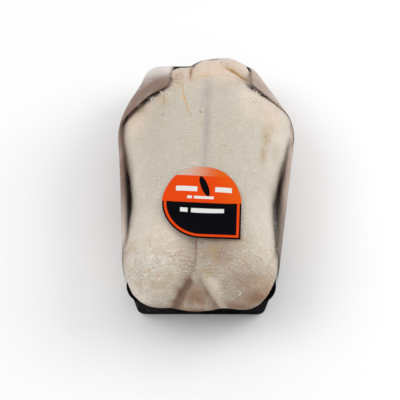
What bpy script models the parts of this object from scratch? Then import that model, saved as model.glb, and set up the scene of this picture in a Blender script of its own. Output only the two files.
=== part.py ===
"""A whole raw duckling, breast up, on a black tray under clear stretch film with a paper label.

Metres, +Z up. The neck end points to +Y, the vent end to -Y, and the pack stands on Z = 0 with
the origin under the middle of its box. The duckling, the tray, the film and the label are one
closed solid each.
"""

import math

import bmesh
import bpy
import numpy as np
from mathutils import Matrix, Vector
from mathutils.bvhtree import BVHTree

# Tray: a thin formed shell with sloping walls and a narrow flange
TRAY_LENGTH = 0.288
TRAY_FRONT_WIDTH = 0.137
TRAY_REAR_WIDTH = 0.124
TRAY_RIM_HEIGHT = 0.045
TRAY_WALL = 0.0010
TRAY_FLANGE = 0.0025
TRAY_DRAFT = 0.0045
TRAY_CORNER_RADIUS = 0.018
TRAY_BASE_CORNER_RADIUS = 0.0065
TRAY_BASE_RADIUS = 0.004
TRAY_CORNER_STEPS = 8
TRAY_BEND_STEPS = 2

# Film: taut from the duckling to the flange, tucked under the base in a hem round an opening
FILM_THICKNESS = 0.00035
FILM_STANDOFF = 0.0013
FILM_UNDER = FILM_THICKNESS + FILM_STANDOFF
FILM_HEM = 0.026
FILM_AT_CORNER = 0.0016
FILM_COLUMNS = 80
FILM_DOME_ROWS = 15
FILM_SINK = 0.0045
FILM_SIDE_ANGLE = math.radians(38.0)
FILM_TOP_ANGLE = math.radians(62.0)
FILM_SLACK = 0.0045
FILM_SLACK_TURN = math.radians(153.0)
FILM_SLACK_SPREAD = math.radians(24.0)
FILM_DIP = 0.010
FILM_DIP_TURN = math.radians(112.0)
FILM_DIP_SPREAD = math.radians(13.0)
FILM_DIP_START = math.radians(8.0)

# Duckling: its long axis is turned a little against the tray
BIRD_TURN = math.radians(-2.0)
BIRD_SHIFT_X = 0.0030
BIRD_RING_SEGMENTS = 64
BIRD_LENGTH_SEGMENTS = 46
BIRD_AXIS_HALF = 0.078
BIRD_AXIS_HEIGHT = 0.056
BIRD_REACH = 0.130
BIRD_BLEND = 0.016
FOLD_BLEND = 0.005
ROOM_IN_TRAY = 0.0018
ROOM_OVER_FLANGE = 0.0026
ROOM_ROUNDING = 0.004
ROOM_AT_CORNER = 0.016
ROOM_SLOPE = 0.0065
ROOM_CORNER_RADIUS = 0.012
ROOM_OVER_BASE = 0.012

# Label: a disc with one square corner, laid on the film over the end of the breast
LABEL_RADIUS = 0.0356
LABEL_CENTRE_X = 0.0002
LABEL_CENTRE_Y = -0.0690
LABEL_SLOPE_SHARE = 0.96
LABEL_TURN = math.radians(-2.8)
LABEL_THICKNESS = 0.0003
LABEL_GAP = 0.0004
LABEL_RINGS = 4
LABEL_SIDES = 40

SHARP_ANGLE = math.radians(50.0)

# Breast, wings, thighs and neck folds as (middle, half sizes, turn about Z in degrees)
BODY_CORE = ((0.0, -0.010, 0.052), (0.0695, 0.128, 0.046), 0.0)
BREAST_HALF = ((0.025, 0.008, 0.066), (0.046, 0.088, 0.038), 0.0)
WING = ((0.057, 0.030, 0.058), (0.0285, 0.043, 0.026), 0.0)
WING_RIGHT_EDGE = ((0.057, 0.047, 0.058), (0.0265, 0.030, 0.022), 20.0)
THIGH = ((0.037, -0.095, 0.057), (0.0335, 0.0580, 0.032), 4.0)
VENT = ((-0.004, -0.113, 0.052), (0.046, 0.0425, 0.027), 0.0)
NECK = ((0.003, 0.098, 0.056), (0.043, 0.031, 0.024), 0.0)
NECK_FOLDS = (
    ((-0.004, 0.113, 0.066), (0.017, 0.018, 0.013), 0.0),
    ((0.022, 0.112, 0.070), (0.024, 0.016, 0.013), -24.0),
    ((-0.0270, 0.1015, 0.0620), (0.0165, 0.0205, 0.0140), 12.0),
    ((0.040, 0.099, 0.062), (0.014, 0.018, 0.013), -30.0),
)

# Creases and ridges, seen from over the vent end at this angle: x and height in that view, with
# the half width and the depth there. A negative depth is a ridge.
VIEW_ANGLE = math.radians(54.0)
CREASE_FLOOR = 0.046
KEEL = (
    (-0.0003, 0.121, 0.004, 0.0),
    (-0.0003, 0.100, 0.004, 0.0014),
    (0.0005, 0.066, 0.004, 0.0016),
    (0.0009, 0.034, 0.004, 0.0006),
)
LEG_CREASE = (
    (-0.0030, -0.022, 0.005, 0.0),
    (-0.0034, -0.038, 0.006, 0.005),
    (-0.0040, -0.058, 0.0070, 0.0065),
    (-0.0085, -0.070, 0.0055, 0.0055),
    (-0.0145, -0.081, 0.0050, 0.0055),
    (-0.0200, -0.092, 0.0045, 0.003),
)
RIGHT_FORK = (
    (-0.0040, -0.058, 0.004, 0.0),
    (0.0026, -0.068, 0.0045, 0.005),
    (0.0095, -0.079, 0.0045, 0.0045),
    (0.0170, -0.090, 0.0045, 0.002),
)
VENT_HOLLOW = (
    (-0.0035, -0.062, 0.004, 0.0),
    (-0.0030, -0.072, 0.006, 0.002),
    (-0.0020, -0.084, 0.009, 0.002),
)
THIGH_RIDGE = (
    (0.0035, -0.060, 0.004, 0.0),
    (0.0095, -0.069, 0.004, -0.001),
    (0.0165, -0.079, 0.004, -0.0015),
    (0.0235, -0.089, 0.004, -0.0005),
)
WING_GROOVE = (
    (0.061, 0.085, 0.006, 0.0),
    (0.060, 0.067, 0.006, 0.002),
    (0.057, 0.052, 0.006, 0.002),
    (0.056, 0.036, 0.006, 0.0),
)
WING_GROOVE_LEFT = tuple((-x, t, width, depth / 2) for x, t, width, depth in WING_GROOVE)
CREASES = (
    KEEL,
    LEG_CREASE,
    RIGHT_FORK,
    VENT_HOLLOW,
    THIGH_RIDGE,
    WING_GROOVE,
    WING_GROOVE_LEFT,
)


def smooth_step(value, low, high):
    """0 below low, 1 above high and smooth between."""
    t = np.clip((value - low) / (high - low), 0.0, 1.0)
    return t * t * (3.0 - 2.0 * t)


def ellipsoid(points, blob):
    """About how far points lie outside a turned ellipsoid, negative inside it."""
    middle, half, turn = blob
    c, s = math.cos(math.radians(turn)), math.sin(math.radians(turn))
    p = points - np.array(middle)
    local = np.stack((c * p[:, 0] + s * p[:, 1], c * p[:, 1] - s * p[:, 0], p[:, 2]), axis=1)
    scaled = local / np.array(half)
    reach = np.linalg.norm(scaled, axis=1)
    slope = np.linalg.norm(scaled / np.array(half), axis=1)
    return reach * (reach - 1.0) / np.maximum(slope, 1e-6)


def soft_min(a, b, blend):
    """The lesser of two distances, with the valley between the two shapes filled smoothly."""
    overlap = np.maximum(blend - np.abs(a - b), 0.0) / blend
    return np.minimum(a, b) - overlap * overlap * blend / 4.0


def soft_max(a, b, blend):
    """The greater of two distances, with the edge between the two shapes rounded off."""
    return -soft_min(-a, -b, blend)


def mirrored(blob):
    """The blob on the other side of the duckling."""
    (x, y, z), half, turn = blob
    return ((-x, y, z), half, -turn)


def into_bird(points):
    """Points of the pack in the duckling's own turned axes."""
    c, s = math.cos(BIRD_TURN), math.sin(BIRD_TURN)
    x = points[:, 0] - BIRD_SHIFT_X
    y = points[:, 1]
    return np.stack((c * x + s * y, c * y - s * x, points[:, 2]), axis=1)


def crease_depth(x, t, path):
    """How deep one crease cuts at places of the view plane."""
    cut = np.zeros(len(x))
    for start, end in zip(np.array(path), np.array(path)[1:]):
        run = end[:2] - start[:2]
        share = ((x - start[0]) * run[0] + (t - start[1]) * run[1]) / run.dot(run)
        here = start[None, :] + np.clip(share, 0.0, 1.0)[:, None] * (end - start)[None, :]
        away = np.hypot(x - here[:, 0], t - here[:, 1])
        own = here[:, 3] * np.exp(-((away / here[:, 2]) ** 2))
        cut = np.where(np.abs(own) > np.abs(cut), own, cut)
    return cut


def carving(points):
    """How deep all creases cut at points in the duckling's axes, on its upper side alone."""
    x, y, z = points.T
    t = y * math.sin(VIEW_ANGLE) + z * math.cos(VIEW_ANGLE)
    depth = sum(crease_depth(x, t, path) for path in CREASES)
    return depth * smooth_step(z, CREASE_FLOOR, CREASE_FLOOR + 0.010)


def flesh(points):
    """How far points lie outside the free form of the duckling."""
    p = into_bird(points)
    body = ellipsoid(p, BODY_CORE)
    for side in (BREAST_HALF, WING, THIGH):
        body = soft_min(body, ellipsoid(p, side), BIRD_BLEND)
        body = soft_min(body, ellipsoid(p, mirrored(side)), BIRD_BLEND)
    for middle in (VENT, NECK, WING_RIGHT_EDGE):
        body = soft_min(body, ellipsoid(p, middle), BIRD_BLEND)
    for fold in NECK_FOLDS:
        body = soft_min(body, ellipsoid(p, fold), FOLD_BLEND)
    return body + carving(p)


def tray_half_width(y):
    """Half the width over the flange at a place along the tray, which narrows to the neck end."""
    share = y / TRAY_LENGTH + 0.5
    return (TRAY_FRONT_WIDTH + (TRAY_REAR_WIDTH - TRAY_FRONT_WIDTH) * share) / 2


def tray_distance(points, inset, radius):
    """How far points lie outside the tray's outline moved inwards by an inset."""
    qx = np.abs(points[:, 0]) - tray_half_width(points[:, 1]) + inset + radius
    qy = np.abs(points[:, 1]) - TRAY_LENGTH / 2 + inset + radius
    outside = np.hypot(np.maximum(qx, 0.0), np.maximum(qy, 0.0))
    return outside + np.minimum(np.maximum(qx, qy), 0.0) - radius


def room_in_tray(points):
    """How far points lie outside the space that the tray leaves for the duckling."""
    z = points[:, 2]
    rise = np.clip((z - FILM_UNDER) / TRAY_RIM_HEIGHT, 0.0, 1.0)
    inset = TRAY_FLANGE + TRAY_WALL + ROOM_IN_TRAY + ROOM_SLOPE * (1.0 - rise)
    walls = tray_distance(points, inset, ROOM_CORNER_RADIUS)
    floor = FILM_UNDER + TRAY_WALL + ROOM_IN_TRAY - z
    inside = soft_max(walls, floor, ROOM_OVER_BASE)
    above = TRAY_RIM_HEIGHT + ROOM_OVER_FLANGE - z
    near_corner = np.maximum(ROOM_AT_CORNER - np.abs(inside - above), 0.0) / ROOM_AT_CORNER
    return np.minimum(inside, above) + near_corner * near_corner * ROOM_AT_CORNER / 4.0


def duckling_field(points):
    """How far points lie outside the duckling as it lies in the tray."""
    return soft_max(flesh(points), room_in_tray(points), ROOM_ROUNDING)


def cast(field, origins, directions, reach, steps=48, halvings=16):
    """Where the rays leave the shape for the last time, as lengths along them."""
    length = np.linspace(0.0, reach, steps)
    last = np.zeros(len(origins), int)
    for i in range(steps):
        inside = field(origins + directions * length[i]) < 0.0
        last[inside] = i
    low = length[last]
    high = low + length[1]
    for _ in range(halvings):
        middle = (low + high) / 2
        inside = field(origins + directions * middle[:, None]) < 0.0
        low = np.where(inside, middle, low)
        high = np.where(inside, high, middle)
    return (low + high) / 2


def new_object(name, bm, collection, colour, roughness):
    """An object with a smooth-shaded mesh from bm and a material of its own."""
    mesh = bpy.data.meshes.new(name)
    bm.to_mesh(mesh)
    bm.free()
    mesh.shade_smooth()
    material = bpy.data.materials.new(name)
    material.use_nodes = True
    shader = material.node_tree.nodes["Principled BSDF"]
    shader.inputs["Base Color"].default_value = (*colour, 1.0)
    shader.inputs["Roughness"].default_value = roughness
    shader.inputs["Metallic"].default_value = 0.0
    mesh.materials.append(material)
    obj = bpy.data.objects.new(name, mesh)
    collection.objects.link(obj)
    return obj


def points_of(bm):
    """The places of a bmesh's vertices as rows."""
    return np.array([v.co for v in bm.verts], float)


def make_duckling(collection):
    """A sphere pulled out along rays from the duckling's long axis to its surface."""
    bm = bmesh.new()
    bmesh.ops.create_uvsphere(
        bm,
        u_segments=BIRD_RING_SEGMENTS,
        v_segments=BIRD_LENGTH_SEGMENTS,
        radius=1.0,
        matrix=Matrix.Rotation(math.radians(-90.0), 4, "X"),
    )
    ways = points_of(bm)
    ways /= np.linalg.norm(ways, axis=1)[:, None]
    origins = np.zeros_like(ways)
    origins[:, 1] = BIRD_AXIS_HALF * ways[:, 1]
    origins[:, 2] = BIRD_AXIS_HEIGHT
    reach = cast(duckling_field, origins, ways, BIRD_REACH)
    for vertex, place in zip(bm.verts, origins + ways * reach[:, None]):
        vertex.co = place
    bmesh.ops.triangulate(bm, faces=bm.faces)
    bmesh.ops.recalc_face_normals(bm, faces=bm.faces)
    return new_object("duckling", bm, collection, (0.68, 0.58, 0.45), 0.45)


def tray_ring(inset, radius, z):
    """Points of the tray's outline moved inwards, in order round it, with rounded corners."""
    ring = []
    for corner in range(4):
        sx = (1, -1, -1, 1)[corner]
        sy = (1, 1, -1, -1)[corner]
        middle_y = sy * (TRAY_LENGTH / 2 - inset - radius)
        middle_x = sx * (tray_half_width(middle_y) - inset - radius)
        for step in range(TRAY_CORNER_STEPS + 1):
            angle = math.radians(90.0) * (corner + step / TRAY_CORNER_STEPS)
            x = middle_x + radius * math.cos(angle)
            y = middle_y + radius * math.sin(angle)
            ring.append(Vector((x, y, z)))
    return ring


def loft(bm, rings):
    """Faces between neighbouring rings of as many points. Gives the rings' vertices."""
    rows = [[bm.verts.new(point) for point in ring] for ring in rings]
    for lower, upper in zip(rows, rows[1:]):
        for i in range(len(lower)):
            j = (i + 1) % len(lower)
            bm.faces.new((lower[i], lower[j], upper[j], upper[i]))
    return rows


def make_tray(collection):
    """The inner face of the tray, closed over the base, with its wall added outwards."""
    floor = FILM_UNDER + TRAY_WALL
    wall_inset = TRAY_FLANGE + TRAY_WALL
    rings = []
    for step in range(TRAY_BEND_STEPS + 1):
        angle = math.radians(90.0) * step / TRAY_BEND_STEPS
        bend = TRAY_BASE_RADIUS * (1.0 - math.sin(angle))
        rise = TRAY_BASE_RADIUS * (1.0 - math.cos(angle))
        inset = wall_inset + TRAY_DRAFT + bend
        rings.append(tray_ring(inset, TRAY_BASE_CORNER_RADIUS - bend, floor + rise))
    rings.append(tray_ring(wall_inset, TRAY_CORNER_RADIUS - wall_inset, TRAY_RIM_HEIGHT))
    rings.append(tray_ring(0.0, TRAY_CORNER_RADIUS, TRAY_RIM_HEIGHT))
    bm = bmesh.new()
    rows = loft(bm, rings)
    bm.faces.new(list(reversed(rows[0])))
    bmesh.ops.recalc_face_normals(bm, faces=bm.faces)
    for face in bm.faces:
        if face.normal.z < 0.0:
            face.normal_flip()
    tray = new_object("tray", bm, collection, (0.012, 0.012, 0.013), 0.35)
    tray.data.set_sharp_from_angle(angle=SHARP_ANGLE)
    wall = tray.modifiers.new("wall", "SOLIDIFY")
    wall.thickness = TRAY_WALL
    wall.offset = -1.0
    wall.use_even_offset = True
    return tray


def formed_points(obj):
    """The places of an object's vertices after its modifiers, as rows."""
    formed = obj.evaluated_get(bpy.context.evaluated_depsgraph_get())
    places = np.array([v.co for v in formed.to_mesh().vertices], float)
    formed.to_mesh_clear()
    return places


def hull_planes(objects):
    """Unit normals and offsets of the planes of the convex hull round some objects."""
    bm = bmesh.new()
    for obj in objects:
        for place in formed_points(obj):
            bm.verts.new(place)
    result = bmesh.ops.convex_hull(bm, input=bm.verts)
    faces = [g for g in result["geom"] if isinstance(g, bmesh.types.BMFace)]
    points = points_of(bm)
    middle = Vector(points.mean(axis=0))
    normals = []
    for face in faces:
        normal = face.normal
        if normal.length < 0.5:
            continue
        if normal.dot(face.verts[0].co - middle) < 0.0:
            normal = -normal
        normals.append(normal.copy())
    bm.free()
    normals = np.array(normals, float)
    return normals, (points @ normals.T).max(axis=0)


def to_hull(planes, origins, directions, offset):
    """Lengths along rays from inside a hull to its faces, moved out by an offset."""
    normals, offsets = planes
    towards = directions @ normals.T
    left = offsets[None, :] + offset - origins @ normals.T
    lengths = np.where(towards > 1e-6, left / np.maximum(towards, 1e-6), np.inf)
    return lengths.min(axis=1)


def film_place(planes, azimuth, elevation, height, spare=0.0):
    """The film's inner face in directions from the tray's long axis, at some height."""
    way = np.stack(
        (
            np.cos(elevation) * np.cos(azimuth),
            np.cos(elevation) * np.sin(azimuth),
            np.sin(elevation),
        ),
        axis=1,
    )
    origin = np.zeros_like(way)
    origin[:, 1] = (TRAY_LENGTH - TRAY_FRONT_WIDTH) / 2 * np.sin(azimuth) * np.cos(elevation)
    origin[:, 2] = height
    taut = to_hull(planes, origin, way, FILM_STANDOFF + spare)
    sink = FILM_SINK * smooth_step(elevation, FILM_SIDE_ANGLE, FILM_TOP_ANGLE)
    bird = cast(duckling_field, origin, way, BIRD_REACH) + FILM_STANDOFF
    slack = FILM_SLACK * np.exp(-(((azimuth - FILM_SLACK_TURN) / FILM_SLACK_SPREAD) ** 2))
    slack *= smooth_step(elevation, 0.0, FILM_SIDE_ANGLE / 2)
    slack *= 1.0 - smooth_step(elevation, FILM_SIDE_ANGLE, FILM_TOP_ANGLE)
    dip = FILM_DIP * np.exp(-(((azimuth - FILM_DIP_TURN) / FILM_DIP_SPREAD) ** 2))
    dip *= smooth_step(elevation, 0.0, FILM_DIP_START)
    dip *= 1.0 - smooth_step(elevation, FILM_SIDE_ANGLE, FILM_TOP_ANGLE)
    reach = np.where(elevation > 0.0, np.maximum(bird, taut - sink + slack - dip), taut)
    return origin + way * reach[:, None]


def make_film(collection, duckling, tray):
    """The film's inner face, from its top down over the flange to the hem, with its gauge."""
    planes = hull_planes([duckling, tray])
    azimuth = np.arange(FILM_COLUMNS) * 2.0 * math.pi / FILM_COLUMNS
    flat = np.zeros(FILM_COLUMNS)
    rings = []
    top = film_place(planes, flat[:1], flat[:1] + math.pi / 2, TRAY_RIM_HEIGHT)[0]
    for row in range(1, FILM_DOME_ROWS + 1):
        elevation = math.pi / 2 * (1.0 - row / FILM_DOME_ROWS)
        rings.append(film_place(planes, azimuth, flat + elevation, TRAY_RIM_HEIGHT))
    bend = FILM_UNDER + TRAY_BASE_RADIUS
    low = FILM_UNDER + TRAY_BASE_RADIUS * 0.29
    for height, spare in (
        (TRAY_RIM_HEIGHT - TRAY_WALL * 2, 0.0),
        (bend, FILM_AT_CORNER),
        (low, FILM_AT_CORNER),
    ):
        rings.append(film_place(planes, azimuth, flat, height, spare))
    edge = rings[-1].copy()
    for inset in (TRAY_BASE_RADIUS + FILM_AT_CORNER / 2, FILM_HEM):
        ring = edge.copy()
        inwards = edge[:, :2] - np.stack(
            (flat, (TRAY_LENGTH - TRAY_FRONT_WIDTH) / 2 * np.sin(azimuth)), axis=1
        )
        inwards /= np.linalg.norm(inwards, axis=1)[:, None]
        ring[:, :2] -= inwards * inset
        ring[:, 2] = FILM_THICKNESS
        rings.append(ring)
    bm = bmesh.new()
    rows = loft(bm, [[Vector(p) for p in ring] for ring in rings])
    peak = bm.verts.new(Vector(top))
    for i in range(FILM_COLUMNS):
        bm.faces.new((peak, rows[0][(i + 1) % FILM_COLUMNS], rows[0][i]))
    bmesh.ops.recalc_face_normals(bm, faces=bm.faces)
    film = new_object("film", bm, collection, (0.80, 0.80, 0.80), 0.12)
    gauge = film.modifiers.new("gauge", "SOLIDIFY")
    gauge.thickness = FILM_THICKNESS
    gauge.offset = 1.0
    gauge.use_even_offset = True
    return film


def label_outline(share):
    """The label's outline, a circle with a square corner, shrunk to a share of its size."""
    outline = []
    for side in range(LABEL_SIDES):
        angle = 2.0 * math.pi * side / LABEL_SIDES
        x, y = math.cos(angle), math.sin(angle)
        if x > 0.0 and y < 0.0:
            stretch = 1.0 / max(x, -y)
            x, y = x * stretch, y * stretch
        place = Vector((x, y * LABEL_SLOPE_SHARE)) * LABEL_RADIUS * share
        place.rotate(Matrix.Rotation(LABEL_TURN, 2))
        outline.append(place)
    return outline


def make_label(collection, film):
    """A paper disc whose rings are laid on the film from above."""
    graph = bpy.context.evaluated_depsgraph_get()
    tree = BVHTree.FromObject(film, graph)
    bm = bmesh.new()
    rings = []
    for ring in range(LABEL_RINGS, 0, -1):
        places = []
        for x, y in label_outline(ring / LABEL_RINGS):
            places.append(laid(tree, LABEL_CENTRE_X + x, LABEL_CENTRE_Y + y))
        rings.append(places)
    rows = loft(bm, rings)
    middle = bm.verts.new(laid(tree, LABEL_CENTRE_X, LABEL_CENTRE_Y))
    for i in range(LABEL_SIDES):
        bm.faces.new((rows[-1][i], rows[-1][(i + 1) % LABEL_SIDES], middle))
    bmesh.ops.recalc_face_normals(bm, faces=bm.faces)
    for face in bm.faces:
        if face.normal.z < 0.0:
            face.normal_flip()
    label = new_object("label", bm, collection, (0.80, 0.12, 0.02), 0.45)
    label.data.set_sharp_from_angle(angle=SHARP_ANGLE)
    paper = label.modifiers.new("paper", "SOLIDIFY")
    paper.thickness = LABEL_THICKNESS
    paper.offset = 1.0
    return label


def laid(tree, x, y):
    """The place over (x, y) that lies on the film with the label's gap."""
    hit, normal, _, _ = tree.ray_cast(Vector((x, y, 0.3)), Vector((0.0, 0.0, -1.0)))
    return hit + normal * LABEL_GAP


def main():
    """Builds the four solids and sets the middle of their box over the origin."""
    for old in list(bpy.data.objects):
        bpy.data.objects.remove(old)
    collection = bpy.data.collections.new("packed_duckling")
    bpy.context.scene.collection.children.link(collection)
    duckling = make_duckling(collection)
    tray = make_tray(collection)
    film = make_film(collection, duckling, tray)
    label = make_label(collection, film)
    places = formed_points(film)
    middle = (places.min(axis=0) + places.max(axis=0)) / 2
    shift = Matrix.Translation((-middle[0], -middle[1], -places[:, 2].min()))
    for obj in (duckling, tray, film, label):
        obj.data.transform(shift)


main()
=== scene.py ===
"""Looks of a whole raw duckling packed on a black tray under clear stretch film.

The skin, its pin feathers, the tray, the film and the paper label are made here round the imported
solids, with a plain stage. Metres, +Z up, the neck end towards +Y.
"""

import math

import bmesh
import bpy
import numpy as np
from bpy.props import FloatProperty, FloatVectorProperty, IntProperty, PointerProperty
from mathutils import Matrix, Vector, noise
from mathutils.bvhtree import BVHTree


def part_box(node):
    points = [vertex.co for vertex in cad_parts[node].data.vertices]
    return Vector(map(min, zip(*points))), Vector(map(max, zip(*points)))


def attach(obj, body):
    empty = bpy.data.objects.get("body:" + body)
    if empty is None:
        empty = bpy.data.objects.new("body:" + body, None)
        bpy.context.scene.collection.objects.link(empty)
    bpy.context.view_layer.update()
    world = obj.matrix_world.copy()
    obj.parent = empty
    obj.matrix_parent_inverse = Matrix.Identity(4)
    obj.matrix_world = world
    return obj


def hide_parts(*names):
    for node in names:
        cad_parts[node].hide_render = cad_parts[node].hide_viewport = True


bl_info = {
    "name": "Packed Duckling",
    "version": (1, 0, 0),
    "blender": (4, 5, 0),
    "location": "View3D > Sidebar > Duckling",
    "description": "Makes a raw duckling on a tray with its film, label and a plain stage",
    "category": "Object",
}

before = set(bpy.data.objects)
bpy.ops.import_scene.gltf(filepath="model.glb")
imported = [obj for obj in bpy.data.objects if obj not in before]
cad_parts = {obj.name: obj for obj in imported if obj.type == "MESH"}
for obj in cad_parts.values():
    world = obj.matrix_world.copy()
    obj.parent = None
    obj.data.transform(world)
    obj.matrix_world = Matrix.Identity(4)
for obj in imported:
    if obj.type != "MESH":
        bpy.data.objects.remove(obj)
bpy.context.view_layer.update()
TRAY_LOW, TRAY_HIGH = (np.array(corner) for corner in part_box("tray"))
TRAY_MIDDLE = (TRAY_LOW + TRAY_HIGH) / 2 * (1.0, 1.0, 0.0)

# Tray sizes that the skin and the film keep to
TRAY_LENGTH = 0.288
TRAY_FRONT_WIDTH = 0.137
TRAY_REAR_WIDTH = 0.124
TRAY_RIM_HEIGHT = 0.045
TRAY_WALL = 0.0010
TRAY_FLANGE = 0.0025
TRAY_BASE_RADIUS = 0.004
FILM_UNDER = 0.00165

# Duckling: free form as (middle, half sizes, turn about Z in degrees)
BIRD_AXIS_HALF = 0.078
BIRD_AXIS_HEIGHT = 0.056
BIRD_REACH = 0.130
BIRD_BLEND = 0.016
FOLD_BLEND = 0.005
ROOM_IN_TRAY = 0.0018
ROOM_OVER_FLANGE = 0.0026
ROOM_ROUNDING = 0.004
ROOM_AT_CORNER = 0.016
ROOM_SLOPE = 0.0065
ROOM_CORNER_RADIUS = 0.012
ROOM_OVER_BASE = 0.012
BODY_CORE = ((0.0, -0.010, 0.052), (0.0695, 0.128, 0.046), 0.0)
BREAST_HALF = ((0.025, 0.008, 0.066), (0.046, 0.088, 0.038), 0.0)
WING = ((0.057, 0.030, 0.058), (0.0285, 0.043, 0.026), 0.0)
WING_RIGHT_EDGE = ((0.057, 0.047, 0.058), (0.0265, 0.030, 0.022), 20.0)
THIGH = ((0.037, -0.095, 0.057), (0.0335, 0.0580, 0.032), 4.0)
VENT = ((-0.004, -0.113, 0.052), (0.046, 0.0425, 0.027), 0.0)
NECK = ((0.003, 0.098, 0.056), (0.043, 0.031, 0.024), 0.0)
NECK_FOLDS = (
    ((-0.004, 0.113, 0.066), (0.017, 0.018, 0.013), 0.0),
    ((0.022, 0.112, 0.070), (0.024, 0.016, 0.013), -24.0),
    ((-0.0270, 0.1015, 0.0620), (0.0165, 0.0205, 0.0140), 12.0),
    ((0.040, 0.099, 0.062), (0.014, 0.018, 0.013), -30.0),
)

# Creases and ridges in the slanting plane seen from over the vent end: x, height, half width, depth
VIEW_ANGLE = math.radians(54.0)
CREASE_FLOOR = 0.046
CREASE_FADE = 0.010
MARKS_FADE = 0.014
KEEL = (
    (-0.0003, 0.121, 0.004, 0.0),
    (-0.0003, 0.100, 0.004, 0.0014),
    (0.0005, 0.066, 0.004, 0.0016),
    (0.0009, 0.034, 0.004, 0.0006),
)
LEG_CREASE = (
    (-0.0030, -0.018, 0.006, 0.0),
    (-0.0034, -0.036, 0.006, 0.005),
    (-0.0036, -0.053, 0.0065, 0.0070),
    (-0.0085, -0.066, 0.0080, 0.0085),
    (-0.0150, -0.078, 0.0080, 0.0080),
    (-0.0220, -0.090, 0.0070, 0.0045),
)
RIGHT_FORK = (
    (-0.0036, -0.055, 0.004, 0.0),
    (0.0026, -0.067, 0.0040, 0.0060),
    (0.0095, -0.079, 0.0040, 0.0055),
    (0.0175, -0.090, 0.0040, 0.0025),
)
VENT_HOLLOW = (
    (-0.0030, -0.062, 0.004, 0.0),
    (-0.0030, -0.072, 0.007, 0.0035),
    (-0.0020, -0.084, 0.011, 0.0030),
)
THIGH_RIDGE = (
    (0.0025, -0.056, 0.0035, 0.0),
    (0.0090, -0.067, 0.0035, -0.0026),
    (0.0165, -0.078, 0.0036, -0.0030),
    (0.0235, -0.088, 0.0036, -0.0016),
)
WING_GROOVE = (
    (0.061, 0.085, 0.006, 0.0),
    (0.060, 0.067, 0.006, 0.002),
    (0.057, 0.052, 0.006, 0.002),
    (0.056, 0.036, 0.006, 0.0),
)
WING_GROOVE_LEFT = tuple((-x, t, width, depth / 2) for x, t, width, depth in WING_GROOVE)
NECK_CREASE = (
    (-0.0060, 0.146, 0.0022, 0.0015),
    (-0.0135, 0.141, 0.0024, 0.0030),
    (-0.0180, 0.134, 0.0026, 0.0040),
    (-0.0186, 0.127, 0.0026, 0.0032),
    (-0.0179, 0.120, 0.0024, 0.0015),
    (-0.0160, 0.113, 0.0022, 0.0),
)
NECK_POCKET = (
    (0.0100, 0.1415, 0.0022, 0.0005),
    (0.0170, 0.1375, 0.0024, 0.0022),
    (0.0255, 0.1327, 0.0030, 0.0050),
    (0.0345, 0.1265, 0.0026, 0.0036),
    (0.0440, 0.1215, 0.0022, 0.0),
)
NECK_SEAM = (
    (-0.0175, 0.1205, 0.0020, 0.0010),
    (-0.0100, 0.1245, 0.0024, 0.0018),
    (0.0010, 0.1280, 0.0024, 0.0016),
    (0.0110, 0.1300, 0.0022, 0.0012),
    (0.0150, 0.1370, 0.0022, 0.0016),
    (0.0110, 0.1440, 0.0020, 0.0010),
)
NECK_TUCKS = (
    (-0.0400, 0.1180, 0.0020, 0.0),
    (-0.0350, 0.1225, 0.0022, 0.0018),
    (-0.0310, 0.1290, 0.0020, 0.0014),
    (-0.0270, 0.1340, 0.0020, 0.0),
)
SOFT_CREASES = (KEEL, VENT_HOLLOW, THIGH_RIDGE, WING_GROOVE, WING_GROOVE_LEFT)
SHARP_CREASES = (LEG_CREASE, RIGHT_FORK, NECK_CREASE, NECK_POCKET, NECK_SEAM, NECK_TUCKS)

# Strokes on the skin in the same plane, each with the half width of its stroke. The vent and fork
# tables paint shade in the creases by the vent, and the ridge table paints a highlight beside the
# right fork; the others are the skin's own lines, tints, streaks, spots and specks.
VENT_SHADE = (
    ((-0.0085, -0.070), (-0.0140, -0.079), 0.0034),
    ((-0.0140, -0.079), (-0.0215, -0.096), 0.0042),
)
FORK_SHADE = (
    ((0.0000, -0.067), (0.0065, -0.077), 0.0013),
    ((0.0065, -0.077), (0.0150, -0.091), 0.0015),
)
# Painted highlight on the ridge that catches the light beside the right fork
RIDGE_PAINTED_HIGHLIGHT = (
    ((0.0035, -0.063), (0.0115, -0.076), 0.0030),
    ((0.0115, -0.076), (0.0225, -0.092), 0.0030),
)
NECK_LINES = (
    ((0.0235, 0.1340), (0.0300, 0.1300), 0.0011),
    ((0.0300, 0.1300), (0.0385, 0.1240), 0.0009),
    ((-0.0060, 0.1460), (-0.0135, 0.1410), 0.0007),
    ((-0.0135, 0.1410), (-0.0180, 0.1340), 0.0008),
    ((-0.0180, 0.1340), (-0.0184, 0.1230), 0.0008),
)
SCRATCH = (
    ((-0.0258, 0.1165), (-0.0237, 0.1065), 0.0006),
    ((-0.0237, 0.1065), (-0.0220, 0.0993), 0.0007),
    ((-0.0222, 0.1005), (-0.0217, 0.0980), 0.0013),
    ((-0.0220, 0.0993), (-0.0195, 0.0929), 0.0007),
    ((-0.0195, 0.0929), (-0.0171, 0.0855), 0.0006),
    ((-0.0171, 0.0855), (-0.0139, 0.0794), 0.0004),
)
NECK_STREAK = (
    ((0.0190, 0.1360), (0.0253, 0.1329), 0.0012),
    ((0.0240, 0.1335), (0.0270, 0.1318), 0.0017),
    ((0.0253, 0.1329), (0.0349, 0.1262), 0.0015),
    ((0.0349, 0.1262), (0.0413, 0.1233), 0.0012),
)
NECK_TINT = (
    ((-0.0160, 0.1220), (0.0003, 0.1280), 0.0022),
    ((-0.0186, 0.1340), (-0.0179, 0.1210), 0.0020),
    ((-0.0080, 0.1445), (-0.0180, 0.1360), 0.0018),
    ((0.0235, 0.1360), (0.0360, 0.1290), 0.0016),
    ((0.0360, 0.1290), (0.0440, 0.1230), 0.0016),
)
FINE_STREAKS = (
    ((0.0128, 0.0692), (0.0130, 0.0623), 0.0004),
    ((0.0148, 0.0541), (0.0160, 0.0533), 0.0010),
    ((0.0190, 0.0522), (0.0196, 0.0516), 0.0010),
    ((0.0240, 0.0486), (0.0256, 0.0480), 0.0006),
)
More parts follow.
